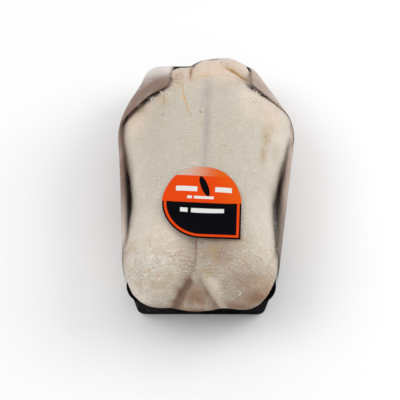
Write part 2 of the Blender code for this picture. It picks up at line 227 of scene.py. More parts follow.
DARK_SPECKS = (
    ((-0.0420, 0.0815), (-0.0404, 0.0806), 0.0005),
    ((0.0461, 0.0980), (0.0465, 0.0976), 0.0005),
    ((0.0481, 0.0960), (0.0484, 0.0956), 0.0005),
)
RED_SPOTS = (
    ((-0.0342, 0.1174), (-0.0335, 0.1185), 0.0014),
    ((-0.0305, 0.1214), (-0.0310, 0.1225), 0.0009),
    ((-0.0325, 0.1273), (-0.0330, 0.1265), 0.0010),
    ((-0.0034, -0.0225), (-0.0036, -0.0300), 0.0016),
    ((-0.0036, -0.0300), (-0.0040, -0.0400), 0.0008),
    ((-0.0057, 0.0855), (-0.0050, 0.0845), 0.0010),
)
# Soft patches: middle, half sizes and strength
PATCHES = {
    # Pale patches: paler skin over fat in places, and painted light on the sides, the lower left
    # thigh, the neck lobes and the ridge beside the right fork, where the skin lies in shade
    "pale": (
        ((-0.052, -0.030), (0.032, 0.030), 0.8),
        ((-0.078, 0.030), (0.016, 0.070), 1.0),
        ((0.080, 0.030), (0.018, 0.080), 1.0),
        ((0.046, 0.104), (0.018, 0.018), 1.0),
        ((0.066, -0.015), (0.020, 0.034), 0.9),
        ((-0.066, 0.009), (0.014, 0.030), 1.0),
        ((0.0185, -0.082), (0.0042, 0.007), 1.0),
        ((0.0140, -0.075), (0.0038, 0.007), 1.0),
        ((0.0080, -0.067), (0.0036, 0.006), 1.0),
        ((-0.054, -0.086), (0.030, 0.018), 1.0),
        ((0.024, 0.134), (0.028, 0.010), 1.0),
        ((-0.008, 0.138), (0.012, 0.008), 1.0),
    ),
    "blush": (
        ((-0.071, 0.080), (0.012, 0.016), 0.9),
        ((-0.062, 0.092), (0.010, 0.008), 0.8),
        ((-0.045, 0.099), (0.008, 0.007), 0.7),
        ((-0.080, 0.045), (0.008, 0.030), 0.6),
        ((0.045, 0.098), (0.012, 0.016), 0.5),
        ((0.064, 0.086), (0.010, 0.016), 0.7),
        ((0.010, 0.134), (0.040, 0.014), 1.0),
        ((-0.030, 0.124), (0.016, 0.012), 1.0),
        ((-0.030, -0.030), (0.020, 0.020), 0.3),
    ),
    "ochre": (
        ((-0.042, 0.097), (0.004, 0.007), 0.7),
        ((-0.066, 0.087), (0.006, 0.005), 0.7),
        ((0.0585, 0.063), (0.0045, 0.010), 0.8),
        ((0.0555, 0.046), (0.0030, 0.008), 0.9),
        ((0.062, 0.072), (0.0050, 0.005), 0.5),
        ((0.068, 0.048), (0.0040, 0.008), 0.4),
        ((-0.033, 0.120), (0.006, 0.008), 0.7),
        ((0.012, -0.0405), (0.0036, 0.0036), 1.0),
        ((0.0135, -0.0460), (0.0022, 0.0030), 1.0),
        ((0.0065, -0.060), (0.0050, 0.003), 0.9),
        ((0.0040, -0.045), (0.0025, 0.004), 0.5),
        ((-0.026, -0.064), (0.005, 0.004), 0.5),
        ((-0.034, -0.073), (0.010, 0.006), 0.45),
        ((-0.062, -0.042), (0.005, 0.005), 0.5),
        ((0.036, -0.031), (0.008, 0.004), 0.5),
        ((0.060, -0.068), (0.010, 0.010), 0.5),
    ),
    # Brown patches: the skin's own brown round the vent, and painted shade along the bottom edge,
    # on the lower right thigh and left of the crease between the thighs
    "brown": (
        ((-0.002, -0.082), (0.014, 0.013), 0.92),
        ((0.055, -0.082), (0.025, 0.015), 0.95),
        ((0.040, -0.066), (0.020, 0.015), 0.62),
        ((0.016, -0.040), (0.018, 0.020), 0.62),
        ((0.034, -0.090), (0.028, 0.007), 0.92),
        ((-0.030, 0.1215), (0.009, 0.007), 0.24),
        ((-0.002, -0.097), (0.055, 0.006), 1.00),
        ((-0.0045, -0.046), (0.0035, 0.022), 0.35),
        ((-0.0100, -0.046), (0.0090, 0.022), 0.36),
        ((-0.0110, -0.069), (0.0060, 0.008), 0.66),
        ((-0.0165, -0.079), (0.0065, 0.008), 0.74),
        ((-0.0215, -0.088), (0.0060, 0.006), 0.66),
        ((0.0030, -0.075), (0.0030, 0.006), 0.60),
        ((0.0090, -0.086), (0.0040, 0.006), 0.70),
    ),
    "mauve": (
        ((0.0006, 0.062), (0.0030, 0.050), 0.8),
        ((0.0, 0.108), (0.0045, 0.014), 0.8),
        ((-0.0040, 0.100), (0.0020, 0.020), 0.5),
    ),
}

# Where pin feathers are left: middle, half sizes and strength in the slanting plane
SHAFT_PATCHES = (
    ((-0.041, 0.103), (0.006, 0.003), 1.0),
    ((-0.052, 0.098), (0.010, 0.0025), 0.8),
    ((-0.066, 0.089), (0.010, 0.004), 0.5),
    ((-0.031, 0.118), (0.006, 0.006), 0.8),
    ((0.050, 0.107), (0.004, 0.006), 1.0),
    ((0.056, 0.100), (0.006, 0.003), 0.9),
    ((-0.074, -0.002), (0.004, 0.030), 0.45),
    ((0.068, -0.010), (0.004, 0.030), 0.45),
    ((-0.041, 0.019), (0.004, 0.003), 0.8),
    ((0.023, -0.058), (0.003, 0.004), 0.8),
    ((0.034, -0.077), (0.005, 0.005), 0.6),
    ((0.064, -0.038), (0.004, 0.006), 0.6),
)
SHAFT_HEIGHTS = (0.055, 0.065)
SHAFT_FLOOR = 0.25

# Swells of the skin: strength, size and seed, and how near the tray they start
SWELLS = ((0.7, 0.020, 1), (0.45, 0.008, 2), (0.22, 0.0036, 3))
SWELL_ROOM = 0.006

# Follicle rows: where the thighs part, the middles of their arcs and the arcs' radii
THIGHS_PART = -0.0036
ARC_MIDDLES = (-0.022, 0.016)
ARC_RADIUS = 0.098
ARC_COLUMN_RADIUS = 0.034
BREAST_ROW_BOW = 5.5
COARSE_FROM = (0.015, 0.060)
COARSE_ROW_GROWTH = 0.25
COLUMN_SPACING = 1.15

# Plain bars on the label: middle and half sizes in label radii
PRINT_BARS = (
    ((-0.400, 0.365), (0.270, 0.066)),
    ((0.535, 0.365), (0.210, 0.066)),
    ((-0.315, 0.140), (0.060, 0.036)),
    ((0.045, 0.140), (0.250, 0.036)),
    ((-0.440, -0.215), (0.095, 0.060)),
    ((0.155, -0.215), (0.415, 0.060)),
)
LABEL_RINGS = 24
LABEL_SIDES = 160
# The plain oval between the bars: its shift and turn, and its steepness across and along
PRINT_OVAL_SHIFT = (-0.221, -0.395, 0.0)
PRINT_OVAL_TURN = -0.40
PRINT_OVAL_STEEPNESS = (11.0, 3.4, 0.0)

# Shape of the film: how far it sinks on top, hangs slack at a corner and dips by a shoulder
FILM_SINK = 0.0045
FILM_SLACK = 0.0045
FILM_SIDE_ANGLE = math.radians(38.0)
FILM_TOP_ANGLE = math.radians(62.0)
FILM_SLACK_TURN = math.radians(153.0)
FILM_SLACK_SPREAD = math.radians(24.0)
FILM_DIP = 0.010
FILM_DIP_TURN = math.radians(112.0)
FILM_DIP_SPREAD = math.radians(13.0)
FILM_DIP_START = math.radians(8.0)
FILM_HULL_STEP = 7
FILM_SIDE_RINGS = 24
FILM_SIDE_TOP = TRAY_RIM_HEIGHT - 0.002
FILM_SIDE_LOW = FILM_UNDER + TRAY_BASE_RADIUS * 0.29
FILM_FOLD_INSET = 0.0020
FILM_FOLD_HEIGHT = 0.0009
FILM_HEM_INSETS = (0.0040, 0.012)
# Tints of the haze on the right and on the left: colour midway, at the neck end and at the vent
# end, and where along the tray the last fades out. They are partly the film's haze and partly
# painted reflection of the light on the slanting film, lightest at the left neck end and darker
# towards the vent end on the right.
FILM_HAZE_AND_REFLECTION_TINTS = (
    ((0.42, 0.32, 0.265), (0.46, 0.33, 0.25), (0.20, 0.15, 0.12), (-0.075, -0.030)),
    ((0.25, 0.155, 0.115), (0.74, 0.68, 0.64), (0.56, 0.47, 0.41), (-0.080, -0.020)),
)

# Haze of the film, as ramps over its downward slant, its height and its place along the tray
HAZE_SIDE_SLANT = (-0.68, -0.34)
HAZE_EDGE_SLANT = (-0.28, -0.08)
HAZE_REAR_SLANT = (-0.30, -0.10)
HAZE_SIDE_FROM = (-0.124, -0.100)
HAZE_REAR_FROM = (0.060, 0.085)
HAZE_HEIGHTS = (0.012, 0.030)
HAZE_GAP_START = 0.0003
HAZE_PAST_SHOULDER = (-0.0017, -0.0005)
HAZE_SHOULDER_BLEND = 0.0022
HAZE_FLOOR = 0.003
# Outline of the shoulders in the slanting plane: places on it with their outward ways, then
# the side of the pack and how far out the haze starts
SHOULDER_LINES = (
    ((((-0.0398, 0.1117), (-0.500, 0.866)), ((-0.0533, 0.1039), (-0.683, 0.730))), -1.0, 0.0320),
    ((((0.0584, 0.1117), (0.657, 0.755)),), 1.0, 0.0505),
)

# Flecks of the skin: noise scale, its low and high, amount on the breast and on the thighs, colour
SKIN_FLECKS = (
    (110.0, 0.52, 0.68, 0.08, 0.40, (0.47, 0.29, 0.16)),
    (230.0, 0.54, 0.68, 0.14, 0.62, (0.50, 0.28, 0.13)),
    (480.0, 0.46, 0.66, 0.12, 0.22, (0.38, 0.29, 0.21)),
    (300.0, 0.54, 0.68, 0.20, 0.46, (0.84, 0.80, 0.75)),
)
# Follicles of the skin, painted highlight on the bumps and painted shade in the pits and between
# the rows: part, amount on the breast and on the thighs, colour
FOLLICLE_HIGHLIGHT_AND_SHADE = (
    ("Row", 0.30, 0.0, (0.34, 0.30, 0.24)),
    ("Pit", 0.10, 0.34, (0.30, 0.22, 0.15)),
    ("Bump", 0.16, 0.38, (0.84, 0.80, 0.74)),
)
# Stains of the skin, the brown one partly painted shade: patches, their strength, and scale, low
# and high of the noise that breaks them
SKIN_STAINS = (
    ("mauve", 0.85, (90.0, 0.30, 0.60)),
    ("brown", 1.00, (150.0, 0.25, 0.60)),
    ("ochre", 1.00, (260.0, 0.40, 0.56)),
)

# Lights: name, place, size and power
LIGHTS = (
    ("light_left", (-1.00, -0.10, 1.20), 0.9, 7.2),
    ("light_right", (1.15, 0.25, 0.80), 1.0, 9.0),
)
WORLD_STRENGTH = 0.76
FLOOR_HALF = 3.0
FLOOR_COLOUR = (0.86, 0.86, 0.86, 1.0)

# Camera: distance, aim over the tray, and focal length and picture middle in 400ths of the picture
CAMERA_AWAY = 0.740
CAMERA_AIM = (0.0, 0.0005, 0.05)
CAMERA_FOCAL = 740.0
CAMERA_MIDDLE = (201.5, 169.2)
PICTURE_SIZE = 400.0
SENSOR_WIDTH = 36.0


class DucklingSizes(bpy.types.PropertyGroup):
    """Sizes of the duckling's skin."""

    turn: FloatProperty(
        name="Turn",
        description="How far the duckling is turned against the tray",
        default=math.radians(-2.0),
        unit="ROTATION",
    )
    shift: FloatProperty(
        name="Shift",
        description="How far the duckling lies to the right of the tray's middle",
        default=0.0030,
        unit="LENGTH",
    )
    rings: IntProperty(name="Rings", description="Rings along the skin", default=250, min=40)
    segments: IntProperty(name="Segments", description="Points round a ring", default=360, min=60)
    unevenness: FloatProperty(
        name="Unevenness",
        description="How far the skin swells and sinks",
        default=0.0009,
        unit="LENGTH",
    )
    row_spacing: FloatProperty(
        name="Follicle Rows",
        description="Distance between neighbouring rows of feather follicles",
        default=0.0024,
        unit="LENGTH",
    )


class FeatherSizes(bpy.types.PropertyGroup):
    """Sizes of the pin feather stubs left in the skin."""

    density: FloatProperty(
        name="Density",
        description="Most stubs on a square metre of skin",
        default=260000.0,
        min=0.0,
    )
    length: FloatProperty(
        name="Length", description="Length of a stub", default=0.0032, unit="LENGTH"
    )
    radius: FloatProperty(
        name="Radius", description="Radius at a stub's root", default=0.00036, unit="LENGTH"
    )
    seed: IntProperty(name="Seed", description="Order of the scattering", default=7)


class FilmSizes(bpy.types.PropertyGroup):
    """Sizes of the stretch film."""

    gauge: FloatProperty(
        name="Gauge", description="Thickness of the film's shell", default=0.0002, unit="LENGTH"
    )
    standoff: FloatProperty(
        name="Standoff", description="Room between the skin and the film", default=0.0010,
        unit="LENGTH",
    )
    hem: FloatProperty(
        name="Hem", description="Width tucked under the tray", default=0.026, unit="LENGTH"
    )
    columns: IntProperty(name="Columns", description="Columns of the film's grid", default=240)
    rows: IntProperty(name="Rows", description="Rows from the top to the rim", default=72)
    haze_gap: FloatProperty(
        name="Haze Gap",
        description="Gap under the film at which its haze is fullest",
        default=0.0022,
        unit="LENGTH",
    )


class LabelSizes(bpy.types.PropertyGroup):
    """Sizes of the paper label."""

    radius: FloatProperty(
        name="Radius", description="Radius of the label", default=0.0356, unit="LENGTH"
    )
    middle: FloatVectorProperty(
        name="Middle",
        description="Middle of the label from the tray's middle",
        default=(0.0002, -0.0690),
        size=2,
        unit="LENGTH",
    )
    turn: FloatProperty(
        name="Turn", description="Turn of the label", default=math.radians(-2.8), unit="ROTATION"
    )
    slope_share: FloatProperty(
        name="Slope Share", description="Length kept seen from above on the slope", default=0.96
    )
    thickness: FloatProperty(
        name="Thickness", description="Thickness of the paper", default=0.00028, unit="LENGTH"
    )
    gap: FloatProperty(
        name="Gap", description="Room between film and paper", default=0.0003, unit="LENGTH"
    )


def colour_value(name, description, default):
    """A colour that the panel shows."""
    return FloatVectorProperty(
        name=name, description=description, subtype="COLOR", default=default, min=0.0, max=1.0
    )


class PackColours(bpy.types.PropertyGroup):
    """Colours of the pack."""

    cream: colour_value("Cream", "Main colour of the skin", (0.525, 0.480, 0.405))
    # Pale: also the painted light on skin that lies in shade
    pale: colour_value("Pale", "Lighter colour of the skin over fat", (0.67, 0.61, 0.53))
    rose: colour_value("Rose", "Colour of the thin skin at the edges", (0.72, 0.56, 0.45))
    ochre: colour_value("Ochre", "Colour of the stained patches", (0.40, 0.29, 0.16))
    # Brown: also the painted shade at the bottom edge and beside the crease
    brown: colour_value("Brown", "Colour of the skin round the vent", (0.235, 0.112, 0.058))
    mauve: colour_value("Mauve", "Colour of the keel's groove", (0.36, 0.32, 0.31))
    fat: colour_value("Fat", "Colour of the yellow streaks", (0.52, 0.29, 0.08))
    tray: colour_value("Tray", "Colour of the tray", (0.0010, 0.0010, 0.0012))
    orange: colour_value("Orange", "Main colour of the label", (0.70, 0.055, 0.004))
    ink: colour_value("Ink", "Dark colour of the label", (0.0015, 0.0015, 0.003))


def smooth_step(value, low, high):
    """0 below low, 1 above high and smooth between."""
    t = np.clip((value - low) / (high - low), 0.0, 1.0)
    return t * t * (3.0 - 2.0 * t)


def ellipsoid(points, blob):
    """About how far points lie outside a turned ellipsoid, negative inside it."""
    middle, half, turn = blob
    c, s = math.cos(math.radians(turn)), math.sin(math.radians(turn))
    p = points - np.array(middle)
    local = np.stack((c * p[:, 0] + s * p[:, 1], c * p[:, 1] - s * p[:, 0], p[:, 2]), axis=1)
    scaled = local / np.array(half)
    reach = np.linalg.norm(scaled, axis=1)
    slope = np.linalg.norm(scaled / np.array(half), axis=1)
    return reach * (reach - 1.0) / np.maximum(slope, 1e-6)


def soft_min(a, b, blend):
    """The lesser of two distances, with the valley between the two shapes filled smoothly."""
    overlap = np.maximum(blend - np.abs(a - b), 0.0) / blend
    return np.minimum(a, b) - overlap * overlap * blend / 4.0


def soft_max(a, b, blend):
    """The greater of two distances, with the edge between the two shapes rounded off."""
    return -soft_min(-a, -b, blend)


def mirrored(blob):
    """The blob on the other side of the duckling."""
    (x, y, z), half, turn = blob
    return ((-x, y, z), half, -turn)


def into_bird(points):
    """Points on the tray in the duckling's own turned axes."""
    sizes = bpy.context.scene.duckling_sizes
    c, s = math.cos(sizes.turn), math.sin(sizes.turn)
    x = points[:, 0] - sizes.shift
    y = points[:, 1]
    return np.stack((c * x + s * y, c * y - s * x, points[:, 2]), axis=1)


def slanting(points):
    """Places in the plane seen from over the vent end, of points in the duckling's axes."""
    x, y, z = points.T
    return x, y * math.sin(VIEW_ANGLE) + z * math.cos(VIEW_ANGLE)


def crease_depth(x, t, path, power):
    """How deep one crease cuts at places of the slanting plane. Power 2 rounds its bottom."""
    cut = np.zeros(len(x))
    for start, end in zip(np.array(path), np.array(path)[1:]):
        run = end[:2] - start[:2]
        share = ((x - start[0]) * run[0] + (t - start[1]) * run[1]) / run.dot(run)
        here = start[None, :] + np.clip(share, 0.0, 1.0)[:, None] * (end - start)[None, :]
        away = np.hypot(x - here[:, 0], t - here[:, 1])
        own = here[:, 3] * np.exp(-((away / here[:, 2]) ** power))
        cut = np.where(np.abs(own) > np.abs(cut), own, cut)
    return cut


def flesh(points):
    """How far points lie outside the free form of the duckling."""
    p = into_bird(points)
    body = ellipsoid(p, BODY_CORE)
    for side in (BREAST_HALF, WING, THIGH):
        body = soft_min(body, ellipsoid(p, side), BIRD_BLEND)
        body = soft_min(body, ellipsoid(p, mirrored(side)), BIRD_BLEND)
    for middle in (VENT, NECK, WING_RIGHT_EDGE):
        body = soft_min(body, ellipsoid(p, middle), BIRD_BLEND)
    for fold in NECK_FOLDS:
        body = soft_min(body, ellipsoid(p, fold), FOLD_BLEND)
    x, t = slanting(p)
    depth = sum(crease_depth(x, t, path, 2.0) for path in SOFT_CREASES)
    depth += sum(crease_depth(x, t, path, 1.15) for path in SHARP_CREASES)
    return body + depth * smooth_step(p[:, 2], CREASE_FLOOR, CREASE_FLOOR + CREASE_FADE)


def tray_half_width(y):
    """Half the width over the flange at a place along the tray, which narrows to the neck end."""
    share = y / TRAY_LENGTH + 0.5
    return (TRAY_FRONT_WIDTH + (TRAY_REAR_WIDTH - TRAY_FRONT_WIDTH) * share) / 2


def room_in_tray(points):
    """How far points lie outside the space that the tray leaves for the duckling."""
    x, y, z = points.T
    rise = np.clip((z - FILM_UNDER) / TRAY_RIM_HEIGHT, 0.0, 1.0)
    inset = TRAY_FLANGE + TRAY_WALL + ROOM_IN_TRAY + ROOM_SLOPE * (1.0 - rise)
    qx = np.abs(x) - tray_half_width(y) + inset + ROOM_CORNER_RADIUS
    qy = np.abs(y) - TRAY_LENGTH / 2 + inset + ROOM_CORNER_RADIUS
    outside = np.hypot(np.maximum(qx, 0.0), np.maximum(qy, 0.0))
    walls = outside + np.minimum(np.maximum(qx, qy), 0.0) - ROOM_CORNER_RADIUS
    floor = FILM_UNDER + TRAY_WALL + ROOM_IN_TRAY - z
    inside = soft_max(walls, floor, ROOM_OVER_BASE)
    above = TRAY_RIM_HEIGHT + ROOM_OVER_FLANGE - z
    near_corner = np.maximum(ROOM_AT_CORNER - np.abs(inside - above), 0.0) / ROOM_AT_CORNER
    return np.minimum(inside, above) + near_corner * near_corner * ROOM_AT_CORNER / 4.0


def duckling_field(points):
    """How far points lie outside the duckling as it lies in the tray."""
    return soft_max(flesh(points), room_in_tray(points), ROOM_ROUNDING)


def cast(field, origins, directions, reach, steps=40, halvings=12):
    """Where the rays leave the shape for the last time, as lengths along them."""
    length = np.linspace(0.0, reach, steps)
    last = np.zeros(len(origins), int)
    for i in range(steps):
        inside = field(origins + directions * length[i]) < 0.0
        last[inside] = i
    low = length[last]
    high = low + length[1]
    for _ in range(halvings):
        middle = (low + high) / 2
        inside = field(origins + directions * middle[:, None]) < 0.0
        low = np.where(inside, middle, low)
        high = np.where(inside, high, middle)
    return (low + high) / 2


def mesh_object(name, places, faces):
    """A smooth-shaded object at the origin with the given places and faces."""
    mesh = bpy.data.meshes.new(name)
    mesh.from_pydata(places.tolist(), [], faces)
    mesh.validate()
    mesh.shade_smooth()
    obj = bpy.data.objects.new(name, mesh)
    bpy.context.scene.collection.objects.link(obj)
    return obj


def band_faces(rows, columns, first=0):
    """Quads between neighbouring rings of a grid whose rings are closed."""
    faces = []
    for row in range(rows - 1):
        low = first + row * columns
        for i in range(columns):
            j = (i + 1) % columns
            faces.append((low + i, low + j, low + columns + j, low + columns + i))
    return faces


def set_attribute(mesh, name, values):
    """Gives every vertex a number."""
    attribute = mesh.attributes.new(name, "FLOAT", "POINT")
    attribute.data.foreach_set("value", np.asarray(values, np.float32))


def set_uv(mesh, name, places):
    """Adds a UV map that gives every vertex one place."""
    layer = mesh.uv_layers.new(name=name)
    corners = np.zeros(len(mesh.loops), np.int32)
    mesh.loops.foreach_get("vertex_index", corners)
    layer.data.foreach_set("uv", np.asarray(places, np.float32)[corners].ravel())


def wobble(places, size, seed):
    """Smooth noise between -1 and 1 at places, with swells of some size."""
    offset = Vector((seed * 3.1, seed * 1.7, seed * 2.3))
    return np.array([noise.noise(Vector(p) / size + offset) for p in places])


def feed(tree, item, inputs):
    """A node's inputs linked to other nodes' outputs or set to values."""
    for key, value in inputs.items():
        if isinstance(value, bpy.types.NodeSocket):
            tree.links.new(value, item.inputs[key])
        else:
            item.inputs[key].default_value = value


def node(tree, kind, inputs=None, **settings):
    """A new node with its settings and inputs."""
    item = tree.nodes.new(kind)
    for key, value in settings.items():
        setattr(item, key, value)
    feed(tree, item, inputs or {})
    return item


def calc(tree, operation, *values):
    """The result of a Math node."""
    inputs = {i: value for i, value in enumerate(values)}
    return node(tree, "ShaderNodeMath", inputs, operation=operation).outputs[0]


def ease(tree, value, low, high, start=0.0, end=1.0):
    """A value eased from start at low to end at high."""
    inputs = {"Value": value, "From Min": low, "From Max": high, "To Min": start, "To Max": end}
    item = node(tree, "ShaderNodeMapRange", inputs, interpolation_type="SMOOTHSTEP")
    return item.outputs["Result"]


def blend(tree, share, first, second):
    """Two colours mixed."""
    item = node(tree, "ShaderNodeMix", {0: share}, data_type="RGBA")
    for socket, colour in ((item.inputs[6], first), (item.inputs[7], second)):
        if isinstance(colour, bpy.types.NodeSocket):
            tree.links.new(colour, socket)
        else:
            socket.default_value = (*colour[:3], 1.0)
    return item.outputs[2]


def vector_calc(tree, operation, first, second=None, scale=None):
    """The outputs of a Vector Math node."""
    inputs = {0: first}
    if second is not None:
        inputs[1] = second
    if scale is not None:
        inputs["Scale"] = scale
    return node(tree, "ShaderNodeVectorMath", inputs, operation=operation).outputs


def noise_of(tree, place, scale, detail=2.0, roughness=0.5, output="Fac"):
    """Noise at a place."""
    inputs = {"Vector": place, "Scale": scale, "Detail": detail, "Roughness": roughness}
    return node(tree, "ShaderNodeTexNoise", inputs).outputs[output]


def bumped(tree, shader, height, strength, distance):
    """Relief on a shader's normal."""
    inputs = {"Height": height, "Strength": strength, "Distance": distance}
    bump = node(tree, "ShaderNodeBump", inputs)
    tree.links.new(bump.outputs["Normal"], shader.inputs["Normal"])


def attribute_of(tree, name):
    """The value of a mesh attribute."""
    return node(tree, "ShaderNodeAttribute", attribute_name=name).outputs["Fac"]


def new_group(name, inputs, outputs):
    """A shader node group with its input and output nodes. Inputs are name, kind and default."""
    tree = bpy.data.node_groups.new(name, "ShaderNodeTree")
    for label, kind, default in inputs:
        socket = tree.interface.new_socket(label, in_out="INPUT", socket_type=kind)
        if default is not None:
            socket.default_value = default
    for label, kind in outputs:
        tree.interface.new_socket(label, in_out="OUTPUT", socket_type=kind)
    start = tree.nodes.new("NodeGroupInput").outputs
    end = tree.nodes.new("NodeGroupOutput").inputs
    return tree, start, end


def placed(tree, group, inputs):
    """A group's outputs where it is placed in a material."""
    item = tree.nodes.new("ShaderNodeGroup")
    item.node_tree = group
    feed(tree, item, inputs)
    return item.outputs


def stroke_group():
    """Mask of a soft line between two places of a flat map."""
    existing = bpy.data.node_groups.get("soft_stroke")
    if existing:
        return existing
    inputs = (
        ("Place", "NodeSocketVector", None),
        ("Start", "NodeSocketVector", (0.0, 0.0, 0.0)),
        ("End", "NodeSocketVector", (0.0, 0.0, 0.0)),
        ("Half Width", "NodeSocketFloat", 0.001),
    )
    tree, start, end = new_group("soft_stroke", inputs, (("Mask", "NodeSocketFloat"),))
    run = vector_calc(tree, "SUBTRACT", start["End"], start["Start"])["Vector"]
    from_start = vector_calc(tree, "SUBTRACT", start["Place"], start["Start"])["Vector"]
    along = vector_calc(tree, "DOT_PRODUCT", from_start, run)["Value"]
    square = calc(tree, "MAXIMUM", vector_calc(tree, "DOT_PRODUCT", run, run)["Value"], 1e-9)
    share = calc(tree, "DIVIDE", along, square)
    share = node(tree, "ShaderNodeClamp", {"Value": share}).outputs[0]
    nearest = vector_calc(tree, "SCALE", run, scale=share)["Vector"]
    gone = vector_calc(tree, "SUBTRACT", from_start, nearest)["Vector"]
    away = vector_calc(tree, "LENGTH", gone)["Value"]
    ratio = calc(tree, "DIVIDE", away, start["Half Width"])
    tree.links.new(ease(tree, ratio, 0.35, 1.5, 1.0, 0.0), end["Mask"])
    return tree


def follicle_group():
    """Staggered rows of small raised follicles on a map of rows and columns."""
    inputs = (
        ("Rows", "NodeSocketVector", None),
        ("Object", "NodeSocketVector", None),
        ("Wander", "NodeSocketFloat", 0.3),
    )
    outputs = (
        ("Bump", "NodeSocketFloat"),
        ("Pit", "NodeSocketFloat"),
        ("Row", "NodeSocketFloat"),
    )
    tree, start, end = new_group("follicles", inputs, outputs)
    drift = noise_of(tree, start["Object"], 170.0, 3.0, 0.65, "Color")
    drift = vector_calc(tree, "SUBTRACT", drift, (0.5, 0.5, 0.5))["Vector"]
    drift = vector_calc(tree, "SCALE", drift, scale=start["Wander"])["Vector"]
    place = vector_calc(tree, "ADD", start["Rows"], drift)["Vector"]
    parts = node(tree, "ShaderNodeSeparateXYZ", {0: place}).outputs
    row = calc(tree, "FLOOR", parts["Y"])
    odd = calc(tree, "MULTIPLY", calc(tree, "FLOORED_MODULO", row, 2.0), 0.5)
    across = calc(tree, "SUBTRACT", calc(tree, "FRACT", calc(tree, "ADD", parts["X"], odd)), 0.5)
    down = calc(tree, "SUBTRACT", calc(tree, "FRACT", parts["Y"]), 0.5)
    away = calc(tree, "SQRT", calc(
        tree, "ADD", calc(tree, "MULTIPLY", across, across), calc(tree, "MULTIPLY", down, down)
    ))
    worn = ease(tree, noise_of(tree, start["Object"], 95.0), 0.38, 0.66, 0.10, 1.0)
    ridge = ease(tree, calc(tree, "ABSOLUTE", down), 0.22, 0.50)
    for name, mask in (
        ("Bump", ease(tree, away, 0.10, 0.48, 1.0, 0.0)),
        ("Pit", calc(tree, "MULTIPLY", ridge, ease(tree, away, 0.30, 0.55))),
        ("Row", ridge),
    ):
        tree.links.new(calc(tree, "MULTIPLY", mask, worn), end[name])
    return tree


def blotch_group():
    """Uneven patches of noise."""
    inputs = (
        ("Object", "NodeSocketVector", None),
        ("Scale", "NodeSocketFloat", 100.0),
        ("Low", "NodeSocketFloat", 0.45),
        ("High", "NodeSocketFloat", 0.65),
    )
    tree, start, end = new_group("blotches", inputs, (("Mask", "NodeSocketFloat"),))
    value = noise_of(tree, start["Object"], start["Scale"], 4.0, 0.6)
    tree.links.new(ease(tree, value, start["Low"], start["High"]), end["Mask"])
    return tree


def new_material(name, roughness, ior=1.45):
    """A material with its shader, which other nodes feed."""
    material = bpy.data.materials.new(name)
    material.use_nodes = True
    tree = material.node_tree
    shader = tree.nodes["Principled BSDF"]
    shader.inputs["Roughness"].default_value = roughness
    shader.inputs["IOR"].default_value = ior
    return material, tree, shader


def strokes(tree, place, lines):
    """The greatest of the masks of some lines."""
    total = None
    for first, second, half_width in lines:
        inputs = {
            "Place": place,
            "Start": (*first, 0.0),
            "End": (*second, 0.0),
            "Half Width": half_width,
        }
        mask = placed(tree, stroke_group(), inputs)["Mask"]
        total = mask if total is None else calc(tree, "MAXIMUM", total, mask)
    return total


